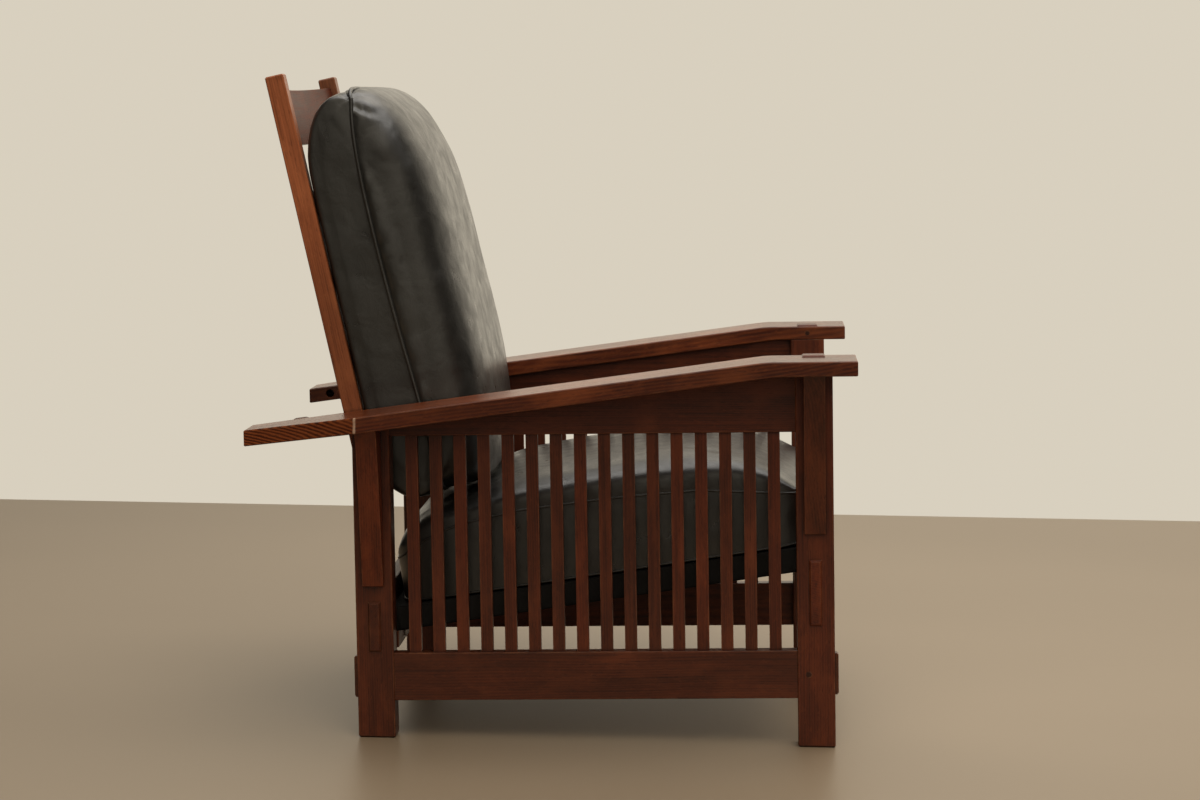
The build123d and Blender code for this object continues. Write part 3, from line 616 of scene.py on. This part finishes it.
def rim_loop(index):
    """Vertex numbers round the border of a grid, in order."""
    top = list(index[0, :-1])
    right = list(index[:-1, -1])
    bottom = list(index[-1, :0:-1])
    left = list(index[:0:-1, 0])
    return [int(v) for v in top + right + bottom + left]


# The cushions' cloth simulation, and how much of it their covers take.
CLOTH_FRAMES, CLOTH_QUALITY, CLOTH_MASS = 20, 8, 0.4
CLOTH_STIFF, CLOTH_BEND, CLOTH_PIN = 45.0, 1.2, 8.0
CLOTH_DAMPING, CLOTH_AIR = 12.0, 4.0
BACK_PRESSURE, SEAT_PRESSURE = 4.0, 3.2
PUFF_MOST = 0.010
INWARD_EASE, INWARD_REACH, ALONG_SHARE = 6.0, 0.002, 0.5


def inflate(piece, held, pressure):
    """Runs a short cloth simulation on the piece, whose held points stay, and returns its points."""
    group = piece.vertex_groups.new(name="held")
    group.add(held, 1.0, "REPLACE")
    cloth = piece.modifiers.new("cloth", "CLOTH")
    values = cloth.settings
    values.quality = CLOTH_QUALITY
    values.mass = CLOTH_MASS
    values.tension_stiffness = values.compression_stiffness = CLOTH_STIFF
    values.shear_stiffness = CLOTH_STIFF / 3
    values.bending_stiffness = CLOTH_BEND
    values.tension_damping = values.compression_damping = values.shear_damping = CLOTH_DAMPING
    values.air_damping = CLOTH_AIR
    values.use_pressure = True
    values.uniform_pressure_force = pressure
    values.vertex_group_mass = "held"
    values.pin_stiffness = CLOTH_PIN
    values.effector_weights.gravity = 0.0
    cloth.collision_settings.use_collision = False
    cloth.point_cache.frame_start = 1
    cloth.point_cache.frame_end = CLOTH_FRAMES
    for number in range(1, CLOTH_FRAMES + 1):
        scene.frame_set(number)
    depsgraph = bpy.context.evaluated_depsgraph_get()
    moved = piece.evaluated_get(depsgraph).data
    out = np.array([v.co for v in moved.vertices])
    piece.modifiers.remove(cloth)
    scene.frame_set(1)
    return out


def eased(piece, before, after):
    """Takes a simulation's swell and creases up to the most allowed, and little of what it pulls in."""
    outward = np.array([v.normal for v in piece.data.vertices])
    step = after - before
    swell = np.sum(step * outward, axis=1, keepdims=True)
    along = step - swell * outward
    swell = np.where(swell > 0, swell / (1.0 + swell / PUFF_MOST),
                     swell / (INWARD_EASE - swell / INWARD_REACH))
    slide = 1.0 + np.linalg.norm(along, axis=1, keepdims=True) / PUFF_MOST
    return before + swell * outward + ALONG_SHARE * along / slide


def write_points(piece, points):
    piece.data.vertices.foreach_set("co", np.asarray(points, np.float32).ravel())
    piece.data.update()


def tube(name, line, radius, sides=10):
    """A round cord along a closed line of points."""
    line = np.asarray(line)
    count = len(line)
    ahead = np.roll(line, -1, axis=0) - np.roll(line, 1, axis=0)
    ahead /= np.linalg.norm(ahead, axis=1, keepdims=True)
    side = np.zeros_like(line)
    start = np.cross(ahead[0], (0.3, 0.5, 0.8))
    side[0] = start / np.linalg.norm(start)
    for k in range(1, count):
        step = side[k - 1] - ahead[k] * np.dot(side[k - 1], ahead[k])
        side[k] = step / np.linalg.norm(step)
    up = np.cross(ahead, side)
    points, faces = [], []
    for k in range(count):
        for turn in range(sides):
            angle = turn * 2 * math.pi / sides
            points.append(line[k] + radius * (math.cos(angle) * side[k] + math.sin(angle) * up[k]))
    end = points[(count - 1) * sides]
    shift = int(np.argmin([np.linalg.norm(points[turn] - end) for turn in range(sides)]))
    for k in range(count):
        nxt = (k + 1) % count
        add = shift if nxt == 0 else 0
        for turn in range(sides):
            other = (turn + 1) % sides
            faces.append((k * sides + turn, k * sides + other,
                          nxt * sides + (other + add) % sides, nxt * sides + (turn + add) % sides))
    return mesh_piece(name, points, faces)


def smooth_line(line, times):
    line = np.asarray(line)
    for _ in range(times):
        line = (np.roll(line, 1, axis=0) + 2 * line + np.roll(line, -1, axis=0)) / 4
    return line


# The back cushion: two shells, front and rear, sewn round with a corded seam.
BACK_HALF_WIDTH = 0.284
BACK_MIDDLE = 0.342
BACK_SEAM_TOP, BACK_SEAM_FOOT = 0.632, 0.014
BACK_FRONT_INSET = 0.0205
BACK_DEPTH, BACK_ROUNDNESS, BACK_COLUMNS, BACK_ROWS, BACK_CROWDING = 0.16, 6.5, 50, 117, 1.35
BACK_FILL, BACK_WELT_RADIUS = 0.86, 0.0032
RIM_LIFT, CORNER_DROP = 0.62, 0.006
REST_DEPTH, REST_HALF_WIDTH = 0.012, 0.275
CALM_ROUNDS, CALM_FROM, CALM_FADE = 18, 0.266, 0.030
STILL_TO, STILL_FADE = 0.066, 0.054

# How far the seam stands before the posts, by its place up them.
BACK_SEAM = np.array([
    (0.014, 0.0920), (0.050, 0.0910), (0.147, 0.0885), (0.202, 0.0860), (0.271, 0.0825), (0.309, 0.0810),
    (0.366, 0.0795), (0.423, 0.0785), (0.479, 0.0785), (0.516, 0.0795), (0.560, 0.0820), (0.600, 0.0860),
    (0.632, 0.0920),
])

# The cushion's middle outline, up from the middle and down from it, as places
# up the posts and distances before them.
FRONT_UP = np.array([
    (0.342, 0.2047), (0.412, 0.2037), (0.450, 0.2018), (0.4736, 0.2006), (0.498, 0.1986), (0.5222, 0.1954),
    (0.549, 0.1899), (0.574, 0.1834), (0.592, 0.1764), (0.6092, 0.1662), (0.6217, 0.1562), (0.6325, 0.1449),
    (0.6397, 0.1334), (0.645, 0.1204), (0.648, 0.1069), (0.649, 0.0900),
])
FRONT_DOWN = np.array([
    (0.342, 0.2047), (0.272, 0.2065), (0.215, 0.2072), (0.1675, 0.2062), (0.116, 0.2024), (0.078, 0.1982),
    (0.050, 0.1944), (0.030, 0.1914), (0.018, 0.1892), (0.009, 0.1862), (0.003, 0.1815), (0.000, 0.1750),
    (-0.002, 0.1650), (-0.003, 0.1500), (-0.003, 0.092),
])
REAR_UP = np.array([
    (0.342, 0.0004), (0.480, 0.0004), (0.530, 0.0014), (0.555, 0.0045), (0.577, 0.0105), (0.600, 0.0200),
    (0.616, 0.0305), (0.628, 0.0430), (0.637, 0.0580), (0.643, 0.0740), (0.646, 0.0900),
])
REAR_DOWN = np.array([
    (0.342, 0.0004), (0.150, 0.0004), (0.080, 0.0010), (0.045, 0.0050), (0.024, 0.0150), (0.010, 0.0300),
    (0.002, 0.0500), (-0.002, 0.0700), (-0.003, 0.092),
])

# Which part of the seam, from its middle to its end, belongs to a part of the outline.
SEAM_SHARES = np.array([
    (0.0, 0.0), (0.37, 0.34), (0.65, 0.50), (0.76, 0.575), (0.84, 0.65), (0.915, 0.77), (1.0, 1.0),
])

# Folds at the cushion's corners: points before the posts and up them, with
# how much the fold slips on the left side, then depth, width and lips.
PLEATS = (
    (((0.0915, 0.6150, -1), (0.1068, 0.6042, -1), (0.1220, 0.5940, -1), (0.1375, 0.5900, 0)),
     0.0078, 0.0030, 0.0034),
    (((0.0800, 0.6120, 0), (0.0690, 0.6000, 1), (0.0620, 0.5870, 0)), 0.0022, 0.0032, 0.0014),
    (((0.0960, 0.0290, 1), (0.1110, 0.0400, 0), (0.1240, 0.0560, 0)), 0.0026, 0.0030, 0.0014),
)
PLEAT_SLIP = 0.004
# Soft swellings beside the upper folds: height, place before the posts and up them, width.
SWELLINGS = ((0.0026, 0.100, 0.590, 0.011), (0.0022, 0.124, 0.541, 0.018))
RIPPLE, CROSS_RIPPLE, GROOVE, GROOVE_WIDTH = 0.0009, 0.0010, 0.0017, 0.0065
# Where the cushion's top, its sides and its folded corners begin.
TOP_FROM, SIDE_FROM, FOLD_FROM = 0.600, 0.262, 0.248


def curve_places(curve, shares):
    """Points at the given shares of a curve's length."""
    steps = np.hypot(np.diff(curve[:, 0]), np.diff(curve[:, 1]))
    length = np.concatenate([[0.0], np.cumsum(steps)])
    wanted = shares * length[-1]
    return np.interp(wanted, length, curve[:, 0]), np.interp(wanted, length, curve[:, 1])


def middle_outline(b, front):
    """Places up the posts and before them of the middle outline's points."""
    upper, lower = (FRONT_UP, FRONT_DOWN) if front else (REAR_UP, REAR_DOWN)
    up, ahead = curve_places(upper, np.clip(b, 0, 1))
    low, low_ahead = curve_places(lower, np.clip(-b, 0, 1))
    return np.where(b >= 0, up, low), np.where(b >= 0, ahead, low_ahead)


def seam_height(b):
    share = np.interp(np.abs(b), SEAM_SHARES[:, 0], SEAM_SHARES[:, 1])
    reach = np.where(b >= 0, BACK_SEAM_TOP - BACK_MIDDLE, BACK_SEAM_FOOT - BACK_MIDDLE)
    return BACK_MIDDLE + reach * share


def back_shell_points(a, b, front):
    x, _ = rounded_square(a, b, 26.0)
    up, ahead = middle_outline(b, front)
    seam_up = seam_height(b)
    seam = np.interp(seam_up, BACK_SEAM[:, 0], BACK_SEAM[:, 1])
    if front:
        ahead = ahead - BACK_FRONT_INSET * power_edge(b, 8.0)
    share = power_edge(a, 5.0 if front else 34.0)
    rim = np.abs(b) ** 40
    lift = share * (1 - rim) + RIM_LIFT * (1 - np.abs(a) ** 12) * rim
    corner = CORNER_DROP * np.sign(b) * (np.abs(a) * np.abs(b)) ** 18
    return x * BACK_HALF_WIDTH, seam + (ahead - seam) * share, seam_up + (up - seam_up) * lift - corner


def make_back_cushion(leather):
    across = axis_places(BACK_HALF_WIDTH, BACK_DEPTH, BACK_ROUNDNESS, BACK_COLUMNS)
    even = np.linspace(-1.0, 1.0, BACK_ROWS)
    upward = np.sign(even) * (1.0 - (1.0 - np.abs(even)) ** BACK_CROWDING)
    a, b = np.meshgrid(across, upward, indexing="ij")
    rows, columns = a.shape
    front = np.arange(rows * columns).reshape(rows, columns)
    fx, fv, fu = back_shell_points(a, b, True)
    local = [np.stack([fx.ravel(), fv.ravel(), fu.ravel()], axis=-1)]
    inner = np.zeros((rows, columns), bool)
    inner[1:-1, 1:-1] = True
    rear = front.copy()
    rear[inner] = rows * columns + np.arange(inner.sum())
    rx, rv, ru = back_shell_points(a, b, False)
    local.append(np.stack([rx[inner], rv[inner], ru[inner]], axis=-1))
    local = np.concatenate(local)
    faces = sheet_faces(front) + sheet_faces(rear, flip=True)
    piece = mesh_piece("back_cushion_cover", back_points(*local.T), faces)
    rim = rim_loop(front)
    local = puff_back(piece, local, rim, front)
    line = smooth_line(back_points(*local[rim].T), 3)
    local = back_creases(piece, local)
    write_points(piece, back_points(*local.T))
    add_soft_finish(piece, leather, "back_cushion", "back")
    welt = tube("back_cushion_welt", line, BACK_WELT_RADIUS)
    finish_welt(welt, leather, "back")


def back_to_local(points):
    sine, cosine = math.sin(BACK_LEAN), math.cos(BACK_LEAN)
    y, z = points[:, 1] - HINGE[0], points[:, 2] - HINGE[1]
    return np.stack([points[:, 0], z * sine - y * cosine - POST_HALF_DEPTH, y * sine + z * cosine], axis=-1)


def calmed(move, grid, share):
    """Evens out the movement of a grid's points by the given share, against narrow streaks."""
    even = move[grid]
    for _ in range(CALM_ROUNDS):
        even[1:-1] = (even[:-2] + 2 * even[1:-1] + even[2:]) / 4
        even[:, 1:-1] = (even[:, :-2] + 2 * even[:, 1:-1] + even[:, 2:]) / 4
    out = move.copy()
    out[grid] += (even - move[grid]) * share[grid]
    return out


def puff_back(piece, local, rim, front):
    rests = (local[:, 1] < REST_DEPTH) & (np.abs(local[:, 0]) < REST_HALF_WIDTH)
    held = rim + [int(number) for number in np.flatnonzero(rests)]
    moved = inflate(piece, held, BACK_PRESSURE)
    after = back_to_local(eased(piece, back_points(*local.T), moved))
    flat = np.clip((CALM_FROM - np.abs(local[:, 0:1])) / CALM_FADE, 0.0, 1.0)
    after = local + calmed(after - local, front, flat)
    behind = np.clip((STILL_TO - local[:, 1:2]) / STILL_FADE, 0.0, 1.0)
    behind = behind * behind * (3.0 - 2.0 * behind)
    return local * behind + after * (1.0 - behind)


def along_line(points, line):
    """Distance of each point from a line, signed by side, and its place along the line from 0 to 1."""
    line = np.asarray(line)
    lengths = np.linalg.norm(np.diff(line, axis=0), axis=1)
    ends = np.concatenate([[0.0], np.cumsum(lengths)]) / lengths.sum()
    best = np.full(len(points), 9.0)
    signed, place = np.zeros(len(points)), np.zeros(len(points))
    for k in range(len(line) - 1):
        step = line[k + 1] - line[k]
        t = np.clip((points - line[k]) @ step / (step @ step), 0.0, 1.0)
        off = points - (line[k] + t[:, None] * step)
        far = np.linalg.norm(off, axis=1)
        side = np.sign(step[0] * off[:, 1] - step[1] * off[:, 0])
        near = far < best
        best = np.where(near, far, best)
        signed = np.where(near, far * side, signed)
        place = np.where(near, ends[k] + t * (ends[k + 1] - ends[k]), place)
    return signed, place


def bell(value, width):
    return np.exp(-(value / width) ** 2)


def pleat(points, line, deep, wide, proud):
    """A short fold of leather: a slit with a lip on either side, fading out at its far end."""
    off, place = along_line(points, line)
    fade = np.sin(np.clip(place * 1.15 + 0.12, 0.0, 1.0) * math.pi) ** 0.7
    lips = bell(off - 2.4 * wide, 1.6 * wide) + 0.8 * bell(off + 2.4 * wide, 1.6 * wide)
    return fade * (proud * lips - deep * bell(off, wide))


def high_zone(up):
    return np.clip((up - TOP_FROM) / 0.030, 0.0, 1.0)


def back_creases(piece, local):
    """Gathers along the corded seam and folds where the cover turns its corners."""
    x, ahead, up = local.T
    write_points(piece, back_points(*local.T))
    outward = np.array([v.normal for v in piece.data.vertices])
    seam = np.interp(up, BACK_SEAM[:, 0], BACK_SEAM[:, 1])
    beside = ahead - seam
    side = np.clip((np.abs(x) - SIDE_FROM) / 0.014, 0.0, 1.0)
    near = bell(np.maximum(np.abs(beside) - 0.004, 0.0), 0.015) * np.clip(np.abs(beside) / 0.006, 0.0, 1.0)
    turn = np.sign(x)
    high = high_zone(up)
    wave = np.sin(up * 167.0 + 1.3 + turn) + 0.9 * np.sin(up * 97.0 + 2.1 * turn)
    wave = (wave + 0.5 * np.sin(up * 229.0 - turn)) / 2.4
    move = RIPPLE * side * near * wave - GROOVE * bell(beside, GROOVE_WIDTH) * np.maximum(side, high)
    cross = (np.sin(x * 171.0 + 0.5) + 0.8 * np.sin(x * 263.0 + 1.7)) / 1.8
    move += CROSS_RIPPLE * (high * (1.0 - side)) * near * cross
    places = np.stack([ahead, up], axis=-1)
    for sign, slip in ((-1.0, 0.0), (1.0, PLEAT_SLIP)):
        there = np.clip((sign * x - FOLD_FROM) / 0.012, 0.0, 1.0)
        corner = np.zeros(len(x))
        for line, deep, wide, proud in PLEATS:
            corner += pleat(places, [(v, u + part * slip) for v, u, part in line], deep, wide, proud)
        for rise, v, u, wide in SWELLINGS:
            corner += rise * bell(np.hypot(ahead - v, up - u), wide)
        move += there * corner
    return back_to_local(back_points(*local.T) + outward * move[:, None])


def finish_welt(welt, leather, body):
    dress(welt, leather)
    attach(welt, body)


def add_soft_finish(piece, leather, node, body):
    dress(piece, leather)
    subdivide = piece.modifiers.new("smooth", "SUBSURF")
    subdivide.levels = subdivide.render_levels = 1
    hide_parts(node)
    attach(piece, body)


# The seat cushion: top, side band and bottom, corded along both edges. Its
# edge and crown are heights over the deck by the place along it.
SEAT_HALF_WIDTH, SEAT_MOST_HALF_WIDTH = 0.287, 0.2935
SEAT_FRONT, SEAT_REAR, SEAT_HALF_LENGTH = -0.358, 0.308, 0.333
SEAT_SWELL = 0.006
SEAT_DEPTH, SEAT_COLUMNS, SEAT_ROWS, SEAT_BAND_ROWS = 0.07, 38, 42, 12
SEAT_FOOT, SEAT_CLEARANCE, SEAT_FOOT_RISE = 0.004, 0.0006, 0.0034
SEAT_FILL, SEAT_WELT_RADIUS = 0.82, 0.0020
SEAT_EDGE = np.array([
    (-0.360, 0.080), (-0.323, 0.082), (-0.305, 0.085), (-0.269, 0.092), (-0.180, 0.109), (-0.050, 0.117),
    (0.100, 0.120), (0.200, 0.112), (0.260, 0.094), (0.309, 0.066),
])
SEAT_CROWN = np.array([
    (-0.360, 0.081), (-0.352, 0.085), (-0.340, 0.092), (-0.327, 0.102), (-0.317, 0.112), (-0.307, 0.122),
    (-0.292, 0.135), (-0.270, 0.148), (-0.240, 0.158), (-0.183, 0.167), (-0.100, 0.172), (-0.030, 0.172),
    (0.030, 0.1705), (0.090, 0.168), (0.117, 0.1665), (0.134, 0.164), (0.146, 0.1605), (0.165, 0.1565),
    (0.220, 0.150), (0.255, 0.143), (0.278, 0.132), (0.293, 0.115), (0.302, 0.097), (0.307, 0.081),
    (0.309, 0.068),
])


def seat_top(a, b):
    """Across, along and height of the top sheet."""
    x, s = rounded_square(a, b, 12.0)
    along = (SEAT_REAR + SEAT_FRONT) / 2 + s * (SEAT_REAR - SEAT_FRONT) / 2
    edge = np.interp(along, SEAT_EDGE[:, 0], SEAT_EDGE[:, 1])
    crown = np.interp(along, SEAT_CROWN[:, 0], SEAT_CROWN[:, 1])
    rise = power_edge(a, 5.0) * power_edge(b, 12.0)
    return x * SEAT_HALF_WIDTH, along, edge + np.maximum(crown - SEAT_SWELL - edge, 0.0) * rise


def make_seat_cushion(leather):
    across = axis_places(SEAT_HALF_WIDTH, SEAT_DEPTH, 5.0, SEAT_COLUMNS)
    along = axis_places(SEAT_HALF_LENGTH, SEAT_DEPTH, 3.4, SEAT_ROWS)
    a, b = np.meshgrid(across, along, indexing="ij")
    rows, columns = a.shape
    top = np.arange(rows * columns).reshape(rows, columns)
    x, s, h = seat_top(a, b)
    points = [np.stack([x.ravel(), s.ravel(), h.ravel()], axis=-1)]
    rim = rim_loop(top)
    edge = points[0][rim]
    count = rows * columns
    faces = sheet_faces(top)
    previous = rim
    for row in range(1, SEAT_BAND_ROWS + 1):
        share = row / SEAT_BAND_ROWS
        ring = edge.copy()
        foot = SEAT_FOOT + np.interp(edge[:, 1], [-0.36, -0.34, -0.30], [0.012, 0.004, 0.0])
        ring[:, 2] = edge[:, 2] * (1 - share) + foot * share
        numbers = list(range(count, count + len(rim)))
        count += len(rim)
        points.append(ring)
        faces += ring_faces(previous, numbers)
        previous = numbers
    low_rim = previous
    inner = np.zeros((rows, columns), bool)
    inner[1:-1, 1:-1] = True
    bottom = np.zeros((rows, columns), int)
    for number, spot in zip(low_rim, rim_places(rows, columns)):
        bottom[spot] = number
    bottom[inner] = count + np.arange(inner.sum())
    foot = SEAT_CLEARANCE + SEAT_FOOT_RISE * np.maximum(np.abs(a), np.abs(b)) ** 12
    points.append(np.stack([x[inner], s[inner], foot[inner]], axis=-1))
    faces += sheet_faces(bottom, flip=True)
    local = np.concatenate(points)
    piece = mesh_piece("seat_cushion_cover", seat_points(*local.T), faces)
    local = puff_seat(piece, local, rim + low_rim + [int(number) for number in bottom[inner]])
    write_points(piece, seat_points(*local.T))
    add_soft_finish(piece, leather, "seat_cushion", "base")
    for name, loop in (("seat_cushion_top_welt", rim), ("seat_cushion_foot_welt", low_rim)):
        welt = tube(name, smooth_line(seat_points(*local[loop].T), 2), SEAT_WELT_RADIUS)
        finish_welt(welt, leather, "base")


def rim_places(rows, columns):
    grid = np.arange(rows * columns).reshape(rows, columns)
    return [(number // columns, number % columns) for number in rim_loop(grid)]


def ring_faces(upper, lower):
    faces = []
    for k in range(len(upper)):
        nxt = (k + 1) % len(upper)
        faces.append((upper[k], upper[nxt], lower[nxt], lower[k]))
    return faces


def seat_to_local(points):
    sine, cosine = math.sin(DECK_SLOPE), math.cos(DECK_SLOPE)
    y, z = points[:, 1] - DECK_CENTRE[0], points[:, 2] - DECK_CENTRE[1]
    return np.stack([points[:, 0], y * cosine - z * sine, y * sine + z * cosine], axis=-1)


def puff_seat(piece, local, held):
    moved = inflate(piece, held, SEAT_PRESSURE)
    after = seat_to_local(eased(piece, seat_points(*local.T), moved))
    after[:, 2] = np.maximum(after[:, 2], SEAT_CLEARANCE)
    after[:, 0] = np.clip(after[:, 0], -SEAT_MOST_HALF_WIDTH, SEAT_MOST_HALF_WIDTH)
    return after


# The seat deck: a stretched cloth over a lattice of interlaced webbing.
DECK_HALF_WIDTH, DECK_HALF_LENGTH, DECK_DEPTH = 0.2899, 0.3243, 0.0376
DECK_EDGE, DECK_SAG, DECK_LEVEL, DECK_THICKNESS = 0.0025, 0.0006, -0.0005, 0.0008
DECK_PUCKER = 0.0003
WEB_WIDTH, WEB_THICKNESS, WEB_SWING = 0.050, 0.0011, 0.00085
LONG_ROOM, LONG_STEP, LONG_HALF, LONG_END = 0.2170, 0.0723333, 0.3220, -0.0050
CROSS_ROOM, CROSS_STEP, CROSS_HALF, CROSS_END = 0.25146, 0.08382, 0.2875, -0.0030
WEB_LEVEL = -0.0040


def make_deck_cover(cloth):
    places = np.linspace(-1.0, 1.0, 57)
    a, b = np.meshgrid(places, places, indexing="ij")
    rows, columns = a.shape
    x, s = rounded_square(a, b, 300.0)
    top = np.arange(rows * columns).reshape(rows, columns)
    level = DECK_LEVEL - DECK_SAG * (1 - a ** 6) * (1 - b ** 6)
    flat = np.stack([(x * (DECK_HALF_WIDTH - DECK_EDGE)).ravel(),
                     (s * (DECK_HALF_LENGTH - DECK_EDGE)).ravel(), level.ravel()], axis=-1)
    rim = rim_loop(top)
    edge = flat[rim]
    ahead = np.roll(edge, -1, axis=0) - np.roll(edge, 1, axis=0)
    out = np.stack([ahead[:, 1], -ahead[:, 0], np.zeros(len(edge))], axis=-1)
    out /= np.linalg.norm(out, axis=1, keepdims=True)
    out *= np.sign(np.sum(out * edge, axis=1, keepdims=True))
    round_angles = np.linspace(0.0, QUARTER, 6)[1:]
    steps = [(DECK_EDGE * math.sin(t), DECK_EDGE * (1 - math.cos(t))) for t in round_angles]
    steps += [(DECK_EDGE, DECK_EDGE + share * (DECK_DEPTH - DECK_EDGE)) for share in np.linspace(0, 1, 9)[1:]]
    points, faces, previous, count = [flat], sheet_faces(top), rim, rows * columns
    turn = np.arange(len(edge))
    for reach, drop in steps:
        pucker = DECK_PUCKER * np.sin(turn * 0.83) * np.clip((drop - 0.012) / 0.02, 0, 1)
        ring = edge + out * (reach - np.abs(pucker))[:, None]
        ring[:, 2] -= drop
        points.append(ring)
        numbers = list(range(count, count + len(rim)))
        count += len(rim)
        faces += ring_faces(previous, numbers)
        previous = numbers
    piece = mesh_piece("deck_cover_cloth", seat_points(*np.concatenate(points).T), faces)
    thick = piece.modifiers.new("thickness", "SOLIDIFY")
    thick.thickness, thick.offset = DECK_THICKNESS, -1.0
    dress(piece, cloth)
    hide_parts("deck_cover")
    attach(piece, "base")


def make_webbing(webbing, along_deck):
    """One set of flat webbing bands that pass over and under the other set."""
    room, step, half, end = ((LONG_ROOM, LONG_STEP, LONG_HALF, LONG_END) if along_deck
                             else (CROSS_ROOM, CROSS_STEP, CROSS_HALF, CROSS_END))
    other_room, other_step = (CROSS_ROOM, CROSS_STEP) if along_deck else (LONG_ROOM, LONG_STEP)
    t = np.linspace(-half, half, 145)
    over = np.tanh(2.2 * np.cos(math.pi * (t + other_room) / other_step)) / math.tanh(2.2)
    rest = np.clip((np.abs(t) - other_room - 0.010) / 0.022, 0.0, 1.0)
    rest = rest * rest * (3 - 2 * rest)
    across = np.linspace(-0.5, 0.5, 7) * WEB_WIDTH
    thin = 0.5 * WEB_THICKNESS * power_edge(across / (0.5 * WEB_WIDTH), 8.0)
    outline = list(zip(across, thin)) + [(w, -h) for w, h in zip(across[-2:0:-1], thin[-2:0:-1])]
    points, faces, sides = [], [], len(outline)
    for number in range(7):
        sign = (1.0 if along_deck else -1.0) * (-1.0) ** number
        height = (WEB_LEVEL + sign * WEB_SWING * over) * (1 - rest) + end * rest
        middle = number * step - room
        start = sum(len(part) for part in points)
        block = np.array([[(middle + w, place, level + h) if along_deck else (place, middle + w, level + h)
                           for w, h in outline] for place, level in zip(t, height)]).reshape(-1, 3)
        points.append(block)
        for k in range(len(t) - 1):
            for side in range(sides):
                other = (side + 1) % sides
                face = (start + k * sides + side, start + k * sides + other,
                        start + (k + 1) * sides + other, start + (k + 1) * sides + side)
                faces.append(face if along_deck else face[::-1])
        for ring in (0, len(t) - 1):
            face = tuple(start + ring * sides + side for side in range(sides))
            faces.append(face[::-1] if (ring > 0) == along_deck else face)
    name = "deck_long_webbing" if along_deck else "deck_cross_webbing"
    piece = mesh_piece(name, seat_points(*np.concatenate(points).T), faces)
    dress(piece, webbing)
    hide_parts("deck_long_straps" if along_deck else "deck_cross_straps")
    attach(piece, "base")


# Running

make_camera()
make_stage()
dress_frame()
leather = leather_material()
make_back_cushion(leather)
make_seat_cushion(leather)
cloth = woven_material("deck_cloth_weave", (0.010, 0.009, 0.009), (0.030, 0.028, 0.026), 0.0012)
webbing = woven_material("jute_webbing_weave", (0.20, 0.135, 0.07), (0.40, 0.29, 0.165), 0.0022)
make_deck_cover(cloth)
make_webbing(webbing, True)
make_webbing(webbing, False)
